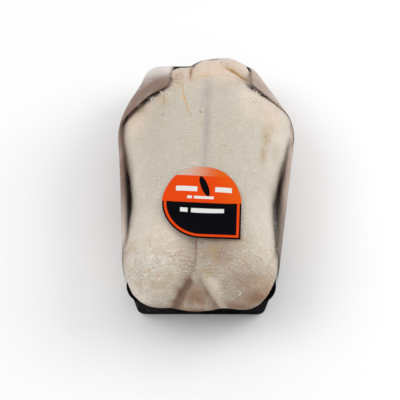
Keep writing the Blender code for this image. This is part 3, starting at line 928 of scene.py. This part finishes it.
def skin_material():
    """Moist pale skin with follicle rows, stained patches, streaks and specks, and painted shade
    and highlight: on the follicles, by the vent, on the ridge beside it and where the skin lies in
    shade.
    """
    colours = bpy.context.scene.pack_colours
    material, tree, shader = new_material("duckling_skin", 0.45)
    shader.inputs["Specular IOR Level"].default_value = 0.3
    here = node(tree, "ShaderNodeTexCoord").outputs["Object"]
    rows = node(tree, "ShaderNodeUVMap", uv_map="rows").outputs["UV"]
    plan = node(tree, "ShaderNodeUVMap", uv_map="plan").outputs["UV"]
    follicles = placed(tree, follicle_group(), {"Rows": rows, "Object": here, "Wander": 1.5})
    group = blotch_group()

    def patchy(scale, low, high):
        inputs = {"Object": here, "Scale": scale, "Low": low, "High": high}
        return placed(tree, group, inputs)["Mask"]

    fine = patchy(420.0, 0.42, 0.62)
    broad = patchy(45.0, 0.40, 0.66)
    coarse = attribute_of(tree, "coarse")
    # Pale patches: paler skin over fat, and painted light where the skin lies in shade
    colour = blend(tree, attribute_of(tree, "pale"), colours.cream, colours.pale)
    colour = blend(tree, attribute_of(tree, "blush"), colour, colours.rose)
    colour = blend(tree, calc(tree, "MULTIPLY", broad, 0.16), colour, (0.45, 0.38, 0.29))
    for scale, low, high, on_breast, on_thighs, paint in SKIN_FLECKS:
        amount = ease(tree, coarse, 0.0, 1.0, on_breast, on_thighs)
        share = calc(tree, "MULTIPLY", patchy(scale, low, high), amount)
        colour = blend(tree, share, colour, paint)
    # Painted highlight on the follicle bumps, painted shade in the pits and between the rows
    for part, on_breast, on_thighs, paint in FOLLICLE_HIGHLIGHT_AND_SHADE:
        amount = ease(tree, coarse, 0.0, 1.0, on_breast, on_thighs)
        colour = blend(tree, calc(tree, "MULTIPLY", follicles[part], amount), colour, paint)
    for name, strength, noise_values in SKIN_STAINS:
        amount = ease(tree, patchy(*noise_values), 0.0, 1.0, 0.68, 1.0)
        share = calc(tree, "MULTIPLY", attribute_of(tree, name), amount)
        share = calc(tree, "MULTIPLY", share, strength)
        colour = blend(tree, share, colour, getattr(colours, name))
    upper = attribute_of(tree, "upper")
    # Strokes: painted shade in the forks by the vent, a painted highlight on the ridge beside the
    # right fork, then the skin's own lines, tints, streaks, spots and specks
    for lines, paint, strength in (
        (VENT_SHADE, (0.130, 0.055, 0.030), 0.74),
        (FORK_SHADE, (0.160, 0.080, 0.048), 0.14),
        (RIDGE_PAINTED_HIGHLIGHT, (0.66, 0.57, 0.46), 0.62),
        (NECK_TINT, (0.60, 0.40, 0.20), 0.34),
        (NECK_STREAK, colours.fat, 0.70),
        (NECK_LINES, (0.27, 0.125, 0.050), 0.62),
        (SCRATCH, (0.58, 0.33, 0.11), 0.80),
        (FINE_STREAKS, (0.46, 0.36, 0.18), 0.5),
        (RED_SPOTS, (0.34, 0.15, 0.10), 0.6),
        (DARK_SPECKS, (0.12, 0.10, 0.06), 0.7),
    ):
        mask = calc(tree, "MULTIPLY", strokes(tree, plan, lines), upper)
        colour = blend(tree, calc(tree, "MULTIPLY", mask, strength), colour, paint)
    tree.links.new(colour, shader.inputs["Base Color"])
    tree.links.new(ease(tree, fine, 0.0, 1.0, 0.40, 0.55), shader.inputs["Roughness"])
    shader.inputs["Subsurface Weight"].default_value = 0.10
    shader.inputs["Subsurface Radius"].default_value = (1.0, 0.55, 0.35)
    shader.inputs["Subsurface Scale"].default_value = 0.002
    height = calc(tree, "MULTIPLY", follicles["Bump"], ease(tree, coarse, 0.0, 1.0, 0.24, 1.0))
    height = calc(tree, "ADD", height, calc(tree, "MULTIPLY", fine, 0.24))
    bumped(tree, shader, height, 0.9, 0.0008)
    return material


def patch_mask(x, t, patches):
    """Soft patches over the slanting plane, from 0 to 1."""
    total = np.zeros(len(x))
    for (px, pt), (half_x, half_t), strength in patches:
        away = ((x - px) / half_x) ** 2 + ((t - pt) / half_t) ** 2
        total = np.maximum(total, strength * np.exp(-away * 0.9))
    return total


def follicle_map(x, t, coarse):
    """Distances down and along the follicle rows, which run in arcs round the thighs."""
    middle = np.where(x < THIGHS_PART, *ARC_MIDDLES)
    off, up = x - middle, t + ARC_RADIUS
    arc = np.hypot(off, up) - ARC_RADIUS
    round_thigh = middle + ARC_COLUMN_RADIUS * np.arctan2(off, up)
    row = (1.0 - coarse) * (t + BREAST_ROW_BOW * x * x) + coarse * arc
    column = (1.0 - coarse) * x + coarse * round_thigh
    return row, column


class PACK_OT_skin(bpy.types.Operator):
    """Make the duckling's skin with its folds, follicles and colours"""

    bl_idname = "pack.skin"
    bl_label = "Duckling Skin"

    def execute(self, context):
        sizes = context.scene.duckling_sizes
        angle = math.pi * (np.arange(sizes.rings) + 0.5) / sizes.rings
        turn = 2.0 * math.pi * np.arange(sizes.segments) / sizes.segments
        polar, around = np.meshgrid(angle, turn, indexing="ij")
        ways = np.stack(
            (np.sin(polar) * np.cos(around), np.cos(polar), np.sin(polar) * np.sin(around)), axis=2
        ).reshape(-1, 3)
        ways = np.concatenate((ways, [[0.0, 1.0, 0.0], [0.0, -1.0, 0.0]]))
        origins = np.zeros_like(ways)
        origins[:, 1] = BIRD_AXIS_HALF * ways[:, 1]
        origins[:, 2] = BIRD_AXIS_HEIGHT
        reach = cast(duckling_field, origins, ways, BIRD_REACH)
        places = origins + ways * reach[:, None]
        free = smooth_step(-room_in_tray(places), 0.0, SWELL_ROOM)
        swell = sum(strength * wobble(places, size, seed) for strength, size, seed in SWELLS)
        places += ways * (sizes.unevenness * swell * free)[:, None]
        bird = into_bird(places)
        x, t = slanting(bird)
        upper = smooth_step(bird[:, 2], CREASE_FLOOR - MARKS_FADE, CREASE_FLOOR)
        faces = band_faces(sizes.rings, sizes.segments)
        count = sizes.rings * sizes.segments
        for i in range(sizes.segments):
            j = (i + 1) % sizes.segments
            faces.append((count, j, i))
            last = count - sizes.segments
            faces.append((count + 1, last + i, last + j))
        skin = mesh_object("duckling_skin", places + TRAY_MIDDLE, faces)
        mesh = skin.data
        for name, patches in PATCHES.items():
            set_attribute(mesh, name, patch_mask(x, t, patches) * upper)
        set_attribute(mesh, "upper", upper)
        coarse = smooth_step(-t, *COARSE_FROM)
        set_attribute(mesh, "coarse", coarse)
        shaft = patch_mask(x, t, SHAFT_PATCHES) * smooth_step(bird[:, 2], *SHAFT_HEIGHTS)
        set_attribute(mesh, "shafts", np.maximum(shaft - SHAFT_FLOOR, 0.0))
        row, column = follicle_map(x, t, coarse)
        row /= sizes.row_spacing * (1.0 + COARSE_ROW_GROWTH * coarse)
        column /= sizes.row_spacing * COLUMN_SPACING
        set_uv(mesh, "rows", np.stack((column, row), axis=1))
        set_uv(mesh, "plan", np.stack((x, t), axis=1))
        mesh.materials.append(skin_material())
        outward(mesh)
        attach(skin, "root")
        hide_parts("duckling")
        return {"FINISHED"}


def outward(mesh):
    """Turns a mesh's faces outwards."""
    bm = bmesh.new()
    bm.from_mesh(mesh)
    bmesh.ops.recalc_face_normals(bm, faces=bm.faces)
    bm.to_mesh(mesh)
    bm.free()


def plain(obj):
    """Applies an object's modifiers and takes them off."""
    graph = bpy.context.evaluated_depsgraph_get()
    mesh = bpy.data.meshes.new_from_object(obj.evaluated_get(graph))
    obj.modifiers.clear()
    old = obj.data
    obj.data = mesh
    bpy.data.meshes.remove(old)
    mesh.name = obj.name


def shaft_material():
    """Pale horn of the pin feathers."""
    material, tree, shader = new_material("pin_feather", 0.35)
    here = node(tree, "ShaderNodeTexCoord").outputs["Object"]
    tone = ease(tree, noise_of(tree, here, 900.0), 0.35, 0.65)
    colour = blend(tree, tone, (0.78, 0.72, 0.60), (0.86, 0.83, 0.78))
    tree.links.new(colour, shader.inputs["Base Color"])
    return material


def shaft_tree(material):
    """Geometry nodes that set small tapered stubs on the skin where its mask asks for them."""
    tree = bpy.data.node_groups.new("pin_feathers", "GeometryNodeTree")
    for label, kind, in_out in (
        ("Skin", "NodeSocketObject", "INPUT"),
        ("Density", "NodeSocketFloat", "INPUT"),
        ("Length", "NodeSocketFloat", "INPUT"),
        ("Radius", "NodeSocketFloat", "INPUT"),
        ("Seed", "NodeSocketInt", "INPUT"),
        ("Geometry", "NodeSocketGeometry", "OUTPUT"),
    ):
        tree.interface.new_socket(label, in_out=in_out, socket_type=kind)
    start = tree.nodes.new("NodeGroupInput").outputs
    end = tree.nodes.new("NodeGroupOutput").inputs
    skin = node(tree, "GeometryNodeObjectInfo", {"Object": start["Skin"]}).outputs["Geometry"]
    mask = node(
        tree, "GeometryNodeInputNamedAttribute", {"Name": "shafts"}, data_type="FLOAT"
    ).outputs["Attribute"]
    scatter = node(
        tree, "GeometryNodeDistributePointsOnFaces",
        {
            "Mesh": skin,
            "Density": calc(tree, "MULTIPLY", mask, start["Density"]),
            "Seed": start["Seed"],
        },
    )
    stub = node(
        tree, "GeometryNodeMeshCone",
        {
            "Vertices": 5,
            "Side Segments": 2,
            "Radius Top": 0.0001,
            "Radius Bottom": start["Radius"],
            "Depth": start["Length"],
        },
    ).outputs["Mesh"]
    lean = node(
        tree, "FunctionNodeRandomValue",
        {0: (-0.9, -0.9, 0.0), 1: (0.5, 0.9, 6.2), "Seed": start["Seed"]},
        data_type="FLOAT_VECTOR",
    ).outputs["Value"]
    turned = node(
        tree, "FunctionNodeRotateEuler",
        {"Rotation": scatter.outputs["Rotation"], "Rotate By": lean}, space="LOCAL",
    ).outputs["Rotation"]
    size = node(
        tree, "FunctionNodeRandomValue", {2: 0.45, 3: 1.25, "Seed": start["Seed"]}
    ).outputs[1]
    stubs = node(
        tree, "GeometryNodeInstanceOnPoints",
        {
            "Points": scatter.outputs["Points"],
            "Instance": stub,
            "Rotation": turned,
            "Scale": size,
        },
    ).outputs["Instances"]
    real = node(tree, "GeometryNodeRealizeInstances", {"Geometry": stubs}).outputs["Geometry"]
    done = node(tree, "GeometryNodeSetMaterial", {"Geometry": real, "Material": material})
    tree.links.new(done.outputs["Geometry"], end["Geometry"])
    return tree


class PACK_OT_feathers(bpy.types.Operator):
    """Set the pin feather stubs that are left in the skin"""

    bl_idname = "pack.feathers"
    bl_label = "Pin Feathers"

    def execute(self, context):
        sizes = context.scene.feather_sizes
        material = shaft_material()
        stubs = bpy.data.objects.new("pin_feathers", bpy.data.meshes.new("pin_feathers"))
        context.scene.collection.objects.link(stubs)
        tree = shaft_tree(material)
        scatter = stubs.modifiers.new("pin_feathers", "NODES")
        scatter.node_group = tree
        values = {
            "Skin": bpy.data.objects["duckling_skin"],
            "Density": sizes.density,
            "Length": sizes.length,
            "Radius": sizes.radius,
            "Seed": sizes.seed,
        }
        for item in tree.interface.items_tree:
            if item.in_out == "INPUT":
                scatter[item.identifier] = values[item.name]
        plain(stubs)
        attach(stubs, "root")
        return {"FINISHED"}


def tray_material():
    """Black formed plastic with a faint grain."""
    colours = bpy.context.scene.pack_colours
    material, tree, shader = new_material("tray_black", 0.5)
    shader.inputs["Specular IOR Level"].default_value = 0.012
    here = node(tree, "ShaderNodeTexCoord").outputs["Object"]
    cloud = noise_of(tree, here, 30.0)
    colour = blend(tree, cloud, colours.tray, (0.002, 0.002, 0.0024))
    tree.links.new(colour, shader.inputs["Base Color"])
    tree.links.new(ease(tree, cloud, 0.35, 0.65, 0.45, 0.60), shader.inputs["Roughness"])
    bumped(tree, shader, noise_of(tree, here, 700.0, 3.0), 0.15, 0.0002)
    return material


class PACK_OT_tray(bpy.types.Operator):
    """Finish the black tray"""

    bl_idname = "pack.tray"
    bl_label = "Tray"

    def execute(self, context):
        tray = bpy.data.objects["tray"]
        material = tray_material()
        for slot in tray.material_slots:
            slot.material = material
        return {"FINISHED"}


def hull_planes(point_sets):
    """Unit normals and offsets of the planes of the convex hull round some points."""
    bm = bmesh.new()
    points = np.concatenate(point_sets)
    for place in points:
        bm.verts.new(place)
    result = bmesh.ops.convex_hull(bm, input=bm.verts)
    faces = [g for g in result["geom"] if isinstance(g, bmesh.types.BMFace)]
    middle = Vector(points.mean(axis=0))
    normals = []
    for face in faces:
        normal = face.normal
        if normal.length < 0.5:
            continue
        if normal.dot(face.verts[0].co - middle) < 0.0:
            normal = -normal
        normals.append(normal.copy())
    bm.free()
    normals = np.array(normals, float)
    return normals, (points @ normals.T).max(axis=0)


def to_hull(planes, origins, directions, offset):
    """Lengths along rays from inside a hull to its faces, moved out by an offset."""
    normals, offsets = planes
    towards = directions @ normals.T
    left = offsets[None, :] + offset - origins @ normals.T
    lengths = np.where(towards > 1e-6, left / np.maximum(towards, 1e-6), np.inf)
    return lengths.min(axis=1)


def film_place(planes, azimuth, elevation, height):
    """The film's inner face in directions from the tray's long axis, at some height."""
    sizes = bpy.context.scene.film_sizes
    way = np.stack(
        (
            np.cos(elevation) * np.cos(azimuth),
            np.cos(elevation) * np.sin(azimuth),
            np.sin(elevation),
        ),
        axis=1,
    )
    origin = np.zeros_like(way)
    origin[:, 1] = (TRAY_LENGTH - TRAY_FRONT_WIDTH) / 2 * np.sin(azimuth) * np.cos(elevation)
    origin[:, 2] = height
    taut = to_hull(planes, origin, way, sizes.standoff)
    sink = FILM_SINK * smooth_step(elevation, FILM_SIDE_ANGLE, FILM_TOP_ANGLE)
    slack = FILM_SLACK * np.exp(-(((azimuth - FILM_SLACK_TURN) / FILM_SLACK_SPREAD) ** 2))
    slack *= smooth_step(elevation, 0.0, FILM_SIDE_ANGLE / 2)
    slack *= 1.0 - smooth_step(elevation, FILM_SIDE_ANGLE, FILM_TOP_ANGLE)
    bird = cast(duckling_field, origin, way, BIRD_REACH) + sizes.standoff
    dip = FILM_DIP * np.exp(-(((azimuth - FILM_DIP_TURN) / FILM_DIP_SPREAD) ** 2))
    dip *= smooth_step(elevation, 0.0, FILM_DIP_START)
    dip *= 1.0 - smooth_step(elevation, FILM_SIDE_ANGLE, FILM_TOP_ANGLE)
    reach = np.where(elevation > 0.0, np.maximum(bird, taut - sink + slack - dip), taut)
    return origin + way * reach[:, None]


def film_material():
    """Clear stretch film that turns hazy where it spans a gap, its haze tinted with painted
    reflection of the light.
    """
    material, tree, shader = new_material("stretch_film", 0.38, 1.5)
    shader.inputs["Specular IOR Level"].default_value = 0.06
    here = node(tree, "ShaderNodeTexCoord").outputs["Object"]
    parts = node(tree, "ShaderNodeSeparateXYZ", {0: here}).outputs
    along = parts["Y"]
    back = ease(tree, along, 0.095, 0.145)
    left = ease(tree, parts["X"], -0.03, 0.01, 1.0, 0.0)
    sides = []
    # Haze tints: partly the film's haze, partly painted reflection of the light on the slanting
    # film
    for midway, neck_end, vent_end, fade in FILM_HAZE_AND_REFLECTION_TINTS:
        tint = blend(tree, back, midway, neck_end)
        sides.append(blend(tree, ease(tree, along, *fade, 1.0, 0.0), tint, vent_end))
    colour = blend(tree, left, *sides)
    stretched = node(
        tree, "ShaderNodeMapping", {"Vector": here, "Scale": (45.0, 45.0, 14.0)}
    ).outputs[0]
    folds = noise_of(tree, stretched, 1.0)
    colour = blend(tree, ease(tree, folds, 0.50, 0.75, 0.0, 0.25), colour, (0.62, 0.58, 0.56))
    tree.links.new(colour, shader.inputs["Base Color"])
    thickness = ease(tree, folds, 0.30, 0.70, 0.84, 0.97)
    haze = calc(tree, "MULTIPLY", attribute_of(tree, "haze"), thickness)
    tree.links.new(calc(tree, "ADD", haze, HAZE_FLOOR), shader.inputs["Alpha"])
    bumped(tree, shader, folds, 0.12, 0.0010)
    return material


def film_haze(places, slant, gap):
    """How hazy the film is, from its places on the tray, downward slant and gap to the skin."""
    y = places[:, 1]
    side = smooth_step(slant, *HAZE_SIDE_SLANT)
    side *= smooth_step(gap, HAZE_GAP_START, bpy.context.scene.film_sizes.haze_gap)
    side = np.maximum(side, smooth_step(slant, *HAZE_EDGE_SLANT))
    side *= smooth_step(y, *HAZE_SIDE_FROM)
    rear = smooth_step(slant, *HAZE_REAR_SLANT) * smooth_step(y, *HAZE_REAR_FROM)
    x, t = slanting(places)
    for lines, sign, start in SHOULDER_LINES:
        past = np.max([nx * (x - px) + nt * (t - pt) for (px, pt), (nx, nt) in lines], axis=0)
        beyond = smooth_step(past, *HAZE_PAST_SHOULDER)
        beyond *= smooth_step(sign * x, start, start + HAZE_SHOULDER_BLEND)
        rear = np.maximum(rear, beyond)
    return np.maximum(side, rear) * smooth_step(places[:, 2], *HAZE_HEIGHTS)


class PACK_OT_film(bpy.types.Operator):
    """Draw the stretch film over the duckling and the tray"""

    bl_idname = "pack.film"
    bl_label = "Stretch Film"

    def execute(self, context):
        sizes = context.scene.film_sizes
        skin = bpy.data.objects["duckling_skin"].data
        tray = bpy.data.objects["tray"].data
        skin_points = np.array([v.co for v in skin.vertices]) - TRAY_MIDDLE
        tray_points = np.array([v.co for v in tray.vertices]) - TRAY_MIDDLE
        planes = hull_planes((skin_points[::FILM_HULL_STEP], tray_points))
        azimuth = np.arange(sizes.columns) * 2.0 * math.pi / sizes.columns
        flat = np.zeros(sizes.columns)
        top = film_place(planes, flat[:1], flat[:1] + math.pi / 2, TRAY_RIM_HEIGHT)
        rings = []
        for row in range(1, sizes.rows + 1):
            elevation = math.pi / 2 * (1.0 - row / sizes.rows)
            rings.append(film_place(planes, azimuth, flat + elevation, TRAY_RIM_HEIGHT))
        for height in np.linspace(FILM_SIDE_TOP, FILM_SIDE_LOW, FILM_SIDE_RINGS):
            rings.append(film_place(planes, azimuth, flat, height))
        edge = rings[-1].copy()
        spine = (TRAY_LENGTH - TRAY_FRONT_WIDTH) / 2 * np.sin(azimuth)
        inwards = edge[:, :2] - np.stack((flat, spine), axis=1)
        inwards /= np.linalg.norm(inwards, axis=1)[:, None]
        for inset in (FILM_FOLD_INSET, *FILM_HEM_INSETS, sizes.hem):
            ring = edge.copy()
            ring[:, :2] -= inwards * inset
            ring[:, 2] = FILM_FOLD_HEIGHT if inset == FILM_FOLD_INSET else sizes.gauge
            rings.append(ring)
        places = np.concatenate([*rings, top])
        columns = sizes.columns
        faces = band_faces(len(rings), columns)
        peak = len(places) - 1
        faces += [(peak, (i + 1) % columns, i) for i in range(columns)]
        flesh_side = BVHTree.FromPolygons(
            [Vector(p) for p in skin_points], [tuple(f.vertices) for f in skin.polygons]
        )
        gap = np.array([flesh_side.find_nearest(Vector(p))[3] for p in places])
        film = mesh_object("stretch_film", places + TRAY_MIDDLE, faces)
        outward(film.data)
        slant = -np.array([v.normal.z for v in film.data.vertices])
        set_attribute(film.data, "haze", film_haze(places, slant, gap))
        film.data.materials.append(film_material())
        shell = film.modifiers.new("gauge", "SOLIDIFY")
        shell.thickness = sizes.gauge
        shell.offset = 1.0
        plain(film)
        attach(film, "root")
        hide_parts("film")
        return {"FINISHED"}


def box_group():
    """Mask of a box with crisp edges on the label's map."""
    inputs = (
        ("Place", "NodeSocketVector", None),
        ("Middle", "NodeSocketVector", (0.0, 0.0, 0.0)),
        ("Half", "NodeSocketVector", (0.1, 0.1, 1.0)),
    )
    tree, start, end = new_group("printed_box", inputs, (("Mask", "NodeSocketFloat"),))
    off = vector_calc(tree, "SUBTRACT", start["Place"], start["Middle"])["Vector"]
    off = vector_calc(tree, "ABSOLUTE", off)["Vector"]
    room = vector_calc(tree, "SUBTRACT", start["Half"], off)["Vector"]
    parts = node(tree, "ShaderNodeSeparateXYZ", {0: room}).outputs
    least = calc(tree, "MINIMUM", parts["X"], parts["Y"])
    tree.links.new(ease(tree, least, -0.006, 0.006), end["Mask"])
    return tree


def label_material():
    """Printed paper: an orange field over a black one, with a stripe, plain bars and an oval."""
    colours = bpy.context.scene.pack_colours
    material, tree, shader = new_material("label_print", 0.5)
    shader.inputs["Specular IOR Level"].default_value = 0.04
    place = node(tree, "ShaderNodeUVMap", uv_map="print").outputs["UV"]
    here = node(tree, "ShaderNodeTexCoord").outputs["Object"]
    parts = node(tree, "ShaderNodeSeparateXYZ", {0: place}).outputs
    u, v = parts["X"], parts["Y"]
    orange = blend(tree, ease(tree, u, 0.05, 0.95), colours.orange, (0.70, 0.085, 0.004))
    cap = blend(tree, ease(tree, u, -0.60, 0.45), (0.54, 0.41, 0.33), (0.66, 0.105, 0.010))
    orange = blend(tree, ease(tree, v, 0.720, 0.740), orange, cap)
    from_edge = calc(tree, "SUBTRACT", 1.0, attribute_of(tree, "rim"))
    border = ease(tree, from_edge, 0.036, 0.052)
    inner = ease(tree, from_edge, 0.098, 0.114)
    dark = blend(tree, calc(tree, "SUBTRACT", border, inner), colours.ink, colours.orange)
    colour = blend(tree, ease(tree, v, -0.006, 0.006), dark, orange)
    bars = None
    box = box_group()
    for middle, half in PRINT_BARS:
        inputs = {"Place": place, "Middle": (*middle, 0.0), "Half": (*half, 1.0)}
        mask = placed(tree, box, inputs)["Mask"]
        bars = mask if bars is None else calc(tree, "MAXIMUM", bars, mask)
    colour = blend(tree, bars, colour, (0.70, 0.68, 0.66))
    turned = {
        "Vector": place, "Location": PRINT_OVAL_SHIFT, "Rotation": (0.0, 0.0, PRINT_OVAL_TURN)
    }
    oval = node(tree, "ShaderNodeMapping", turned).outputs[0]
    oval = vector_calc(tree, "MULTIPLY", oval, PRINT_OVAL_STEEPNESS)["Vector"]
    oval = vector_calc(tree, "LENGTH", oval)["Value"]
    colour = blend(tree, ease(tree, oval, 0.95, 1.05, 1.0, 0.0), colour, colours.ink)
    tree.links.new(colour, shader.inputs["Base Color"])
    bumped(tree, shader, noise_of(tree, here, 1500.0), 0.08, 0.0001)
    return material


def label_outline(side):
    """A point of the label's outline in label radii, on a circle with one square corner."""
    angle = 2.0 * math.pi * side / LABEL_SIDES
    x, y = math.cos(angle), math.sin(angle)
    if x > 0.0 and y < 0.0:
        stretch = 1.0 / max(x, -y)
        x, y = x * stretch, y * stretch
    return x, y


class PACK_OT_label(bpy.types.Operator):
    """Lay the printed paper label on the film"""

    bl_idname = "pack.label"
    bl_label = "Label"

    def execute(self, context):
        sizes = context.scene.label_sizes
        graph = context.evaluated_depsgraph_get()
        tree = BVHTree.FromObject(bpy.data.objects["stretch_film"], graph)
        spots = [(0.0, 0.0, 0.0)]
        for ring in range(1, LABEL_RINGS + 1):
            share = ring / LABEL_RINGS
            for side in range(LABEL_SIDES):
                x, y = label_outline(side)
                spots.append((x * share, y * share, share))
        spots = np.array(spots)
        c, s = math.cos(sizes.turn), math.sin(sizes.turn)
        x = spots[:, 0] * sizes.radius
        y = spots[:, 1] * sizes.radius * sizes.slope_share
        plan = np.stack((c * x - s * y, s * x + c * y), axis=1)
        plan += np.array(sizes.middle) + TRAY_MIDDLE[:2]
        places = []
        for px, py in plan:
            hit, normal, _, _ = tree.ray_cast(Vector((px, py, 0.3)), Vector((0.0, 0.0, -1.0)))
            places.append(hit + normal * sizes.gap)
        places = np.array(places)
        faces = band_faces(LABEL_RINGS, LABEL_SIDES, 1)
        faces += [(0, 1 + i, 1 + (i + 1) % LABEL_SIDES) for i in range(LABEL_SIDES)]
        label = mesh_object("label_paper", places, faces)
        mesh = label.data
        set_uv(mesh, "print", spots[:, :2])
        set_attribute(mesh, "rim", spots[:, 2])
        for polygon in mesh.polygons:
            if polygon.normal.z < 0.0:
                polygon.flip()
        mesh.materials.append(label_material())
        paper = label.modifiers.new("paper", "SOLIDIFY")
        paper.thickness = sizes.thickness
        paper.offset = 1.0
        plain(label)
        label.data.set_sharp_from_angle(angle=math.radians(50.0))
        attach(label, "root")
        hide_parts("label")
        return {"FINISHED"}


def area_light(name, place, aim, size, power):
    """Adds a square soft light that faces a point."""
    light = bpy.data.lights.new(name, "AREA")
    light.energy = power
    light.size = size
    lamp = bpy.data.objects.new(name, light)
    lamp.location = place
    lamp.rotation_euler = (Vector(aim) - Vector(place)).to_track_quat("-Z", "Y").to_euler()
    bpy.context.scene.collection.objects.link(lamp)


class PACK_OT_stage(bpy.types.Operator):
    """Set the floor, the soft lights and the camera"""

    bl_idname = "pack.stage"
    bl_label = "Stage"

    def execute(self, context):
        scene = context.scene
        half = FLOOR_HALF
        corners = [(-half, -half, 0.0), (half, -half, 0.0), (half, half, 0.0), (-half, half, 0.0)]
        floor = mesh_object("floor", np.array(corners), [(0, 1, 2, 3)])
        material, _, shader = new_material("floor_pale", 0.7)
        shader.inputs["Base Color"].default_value = FLOOR_COLOUR
        floor.data.materials.append(material)
        world = bpy.data.worlds.new("studio")
        scene.world = world
        world.use_nodes = True
        background = world.node_tree.nodes["Background"]
        background.inputs["Color"].default_value = (1.0, 1.0, 1.0, 1.0)
        background.inputs["Strength"].default_value = WORLD_STRENGTH
        aim = Vector(TRAY_MIDDLE) + Vector((0.0, 0.0, CAMERA_AIM[2]))
        for name, place, size, power in LIGHTS:
            area_light(name, place, aim, size, power)
        scene.view_settings.view_transform = "Standard"
        scene.camera = self.camera()
        return {"FINISHED"}

    def camera(self):
        """The camera over the vent end, on the photograph's line of sight."""
        forward = Vector((0.0, math.cos(VIEW_ANGLE), -math.sin(VIEW_ANGLE)))
        right = Vector((1.0, 0.0, 0.0))
        up = right.cross(forward)
        shift_x = PICTURE_SIZE / 2 - CAMERA_MIDDLE[0]
        shift_y = CAMERA_MIDDLE[1] - PICTURE_SIZE / 2
        sight = forward * CAMERA_FOCAL + right * shift_x + up * shift_y
        camera = bpy.data.cameras.new("camera")
        camera.sensor_width = SENSOR_WIDTH
        camera.lens = CAMERA_FOCAL / PICTURE_SIZE * SENSOR_WIDTH
        eye = bpy.data.objects.new("camera", camera)
        eye.location = Vector(TRAY_MIDDLE) + Vector(CAMERA_AIM) - forward * CAMERA_AWAY
        eye.rotation_euler = sight.to_track_quat("-Z", "Y").to_euler()
        bpy.context.scene.collection.objects.link(eye)
        return eye


class PACK_PT_panel(bpy.types.Panel):
    """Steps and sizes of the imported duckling"""

    bl_label = "Packed Duckling"
    bl_idname = "PACK_PT_panel"
    bl_space_type = "VIEW_3D"
    bl_region_type = "UI"
    bl_category = "Duckling"

    def draw(self, context):
        layout = self.layout
        for operator, group in STEPS:
            layout.operator(operator)
            if group:
                values = getattr(context.scene, group)
                box = layout.box()
                for name in values.__annotations__:
                    box.prop(values, name)


STEPS = (
    ("pack.skin", "duckling_sizes"),
    ("pack.feathers", "feather_sizes"),
    ("pack.tray", "pack_colours"),
    ("pack.film", "film_sizes"),
    ("pack.label", "label_sizes"),
    ("pack.stage", ""),
)
GROUPS = {
    "duckling_sizes": DucklingSizes,
    "feather_sizes": FeatherSizes,
    "film_sizes": FilmSizes,
    "label_sizes": LabelSizes,
    "pack_colours": PackColours,
}
CLASSES = (
    *GROUPS.values(),
    PACK_OT_skin,
    PACK_OT_feathers,
    PACK_OT_tray,
    PACK_OT_film,
    PACK_OT_label,
    PACK_OT_stage,
    PACK_PT_panel,
)


def register():
    """Adds the classes and the scene's values."""
    for item in CLASSES:
        bpy.utils.register_class(item)
    for name, group in GROUPS.items():
        setattr(bpy.types.Scene, name, PointerProperty(type=group))


def unregister():
    """Takes the scene's values and the classes away."""
    for name in GROUPS:
        delattr(bpy.types.Scene, name)
    for item in reversed(CLASSES):
        bpy.utils.unregister_class(item)


def main():
    """Makes every piece in order."""
    register()
    bpy.ops.pack.skin()
    bpy.ops.pack.feathers()
    bpy.ops.pack.tray()
    bpy.ops.pack.film()
    bpy.ops.pack.label()
    bpy.ops.pack.stage()


if __name__ == "__main__":
    main()
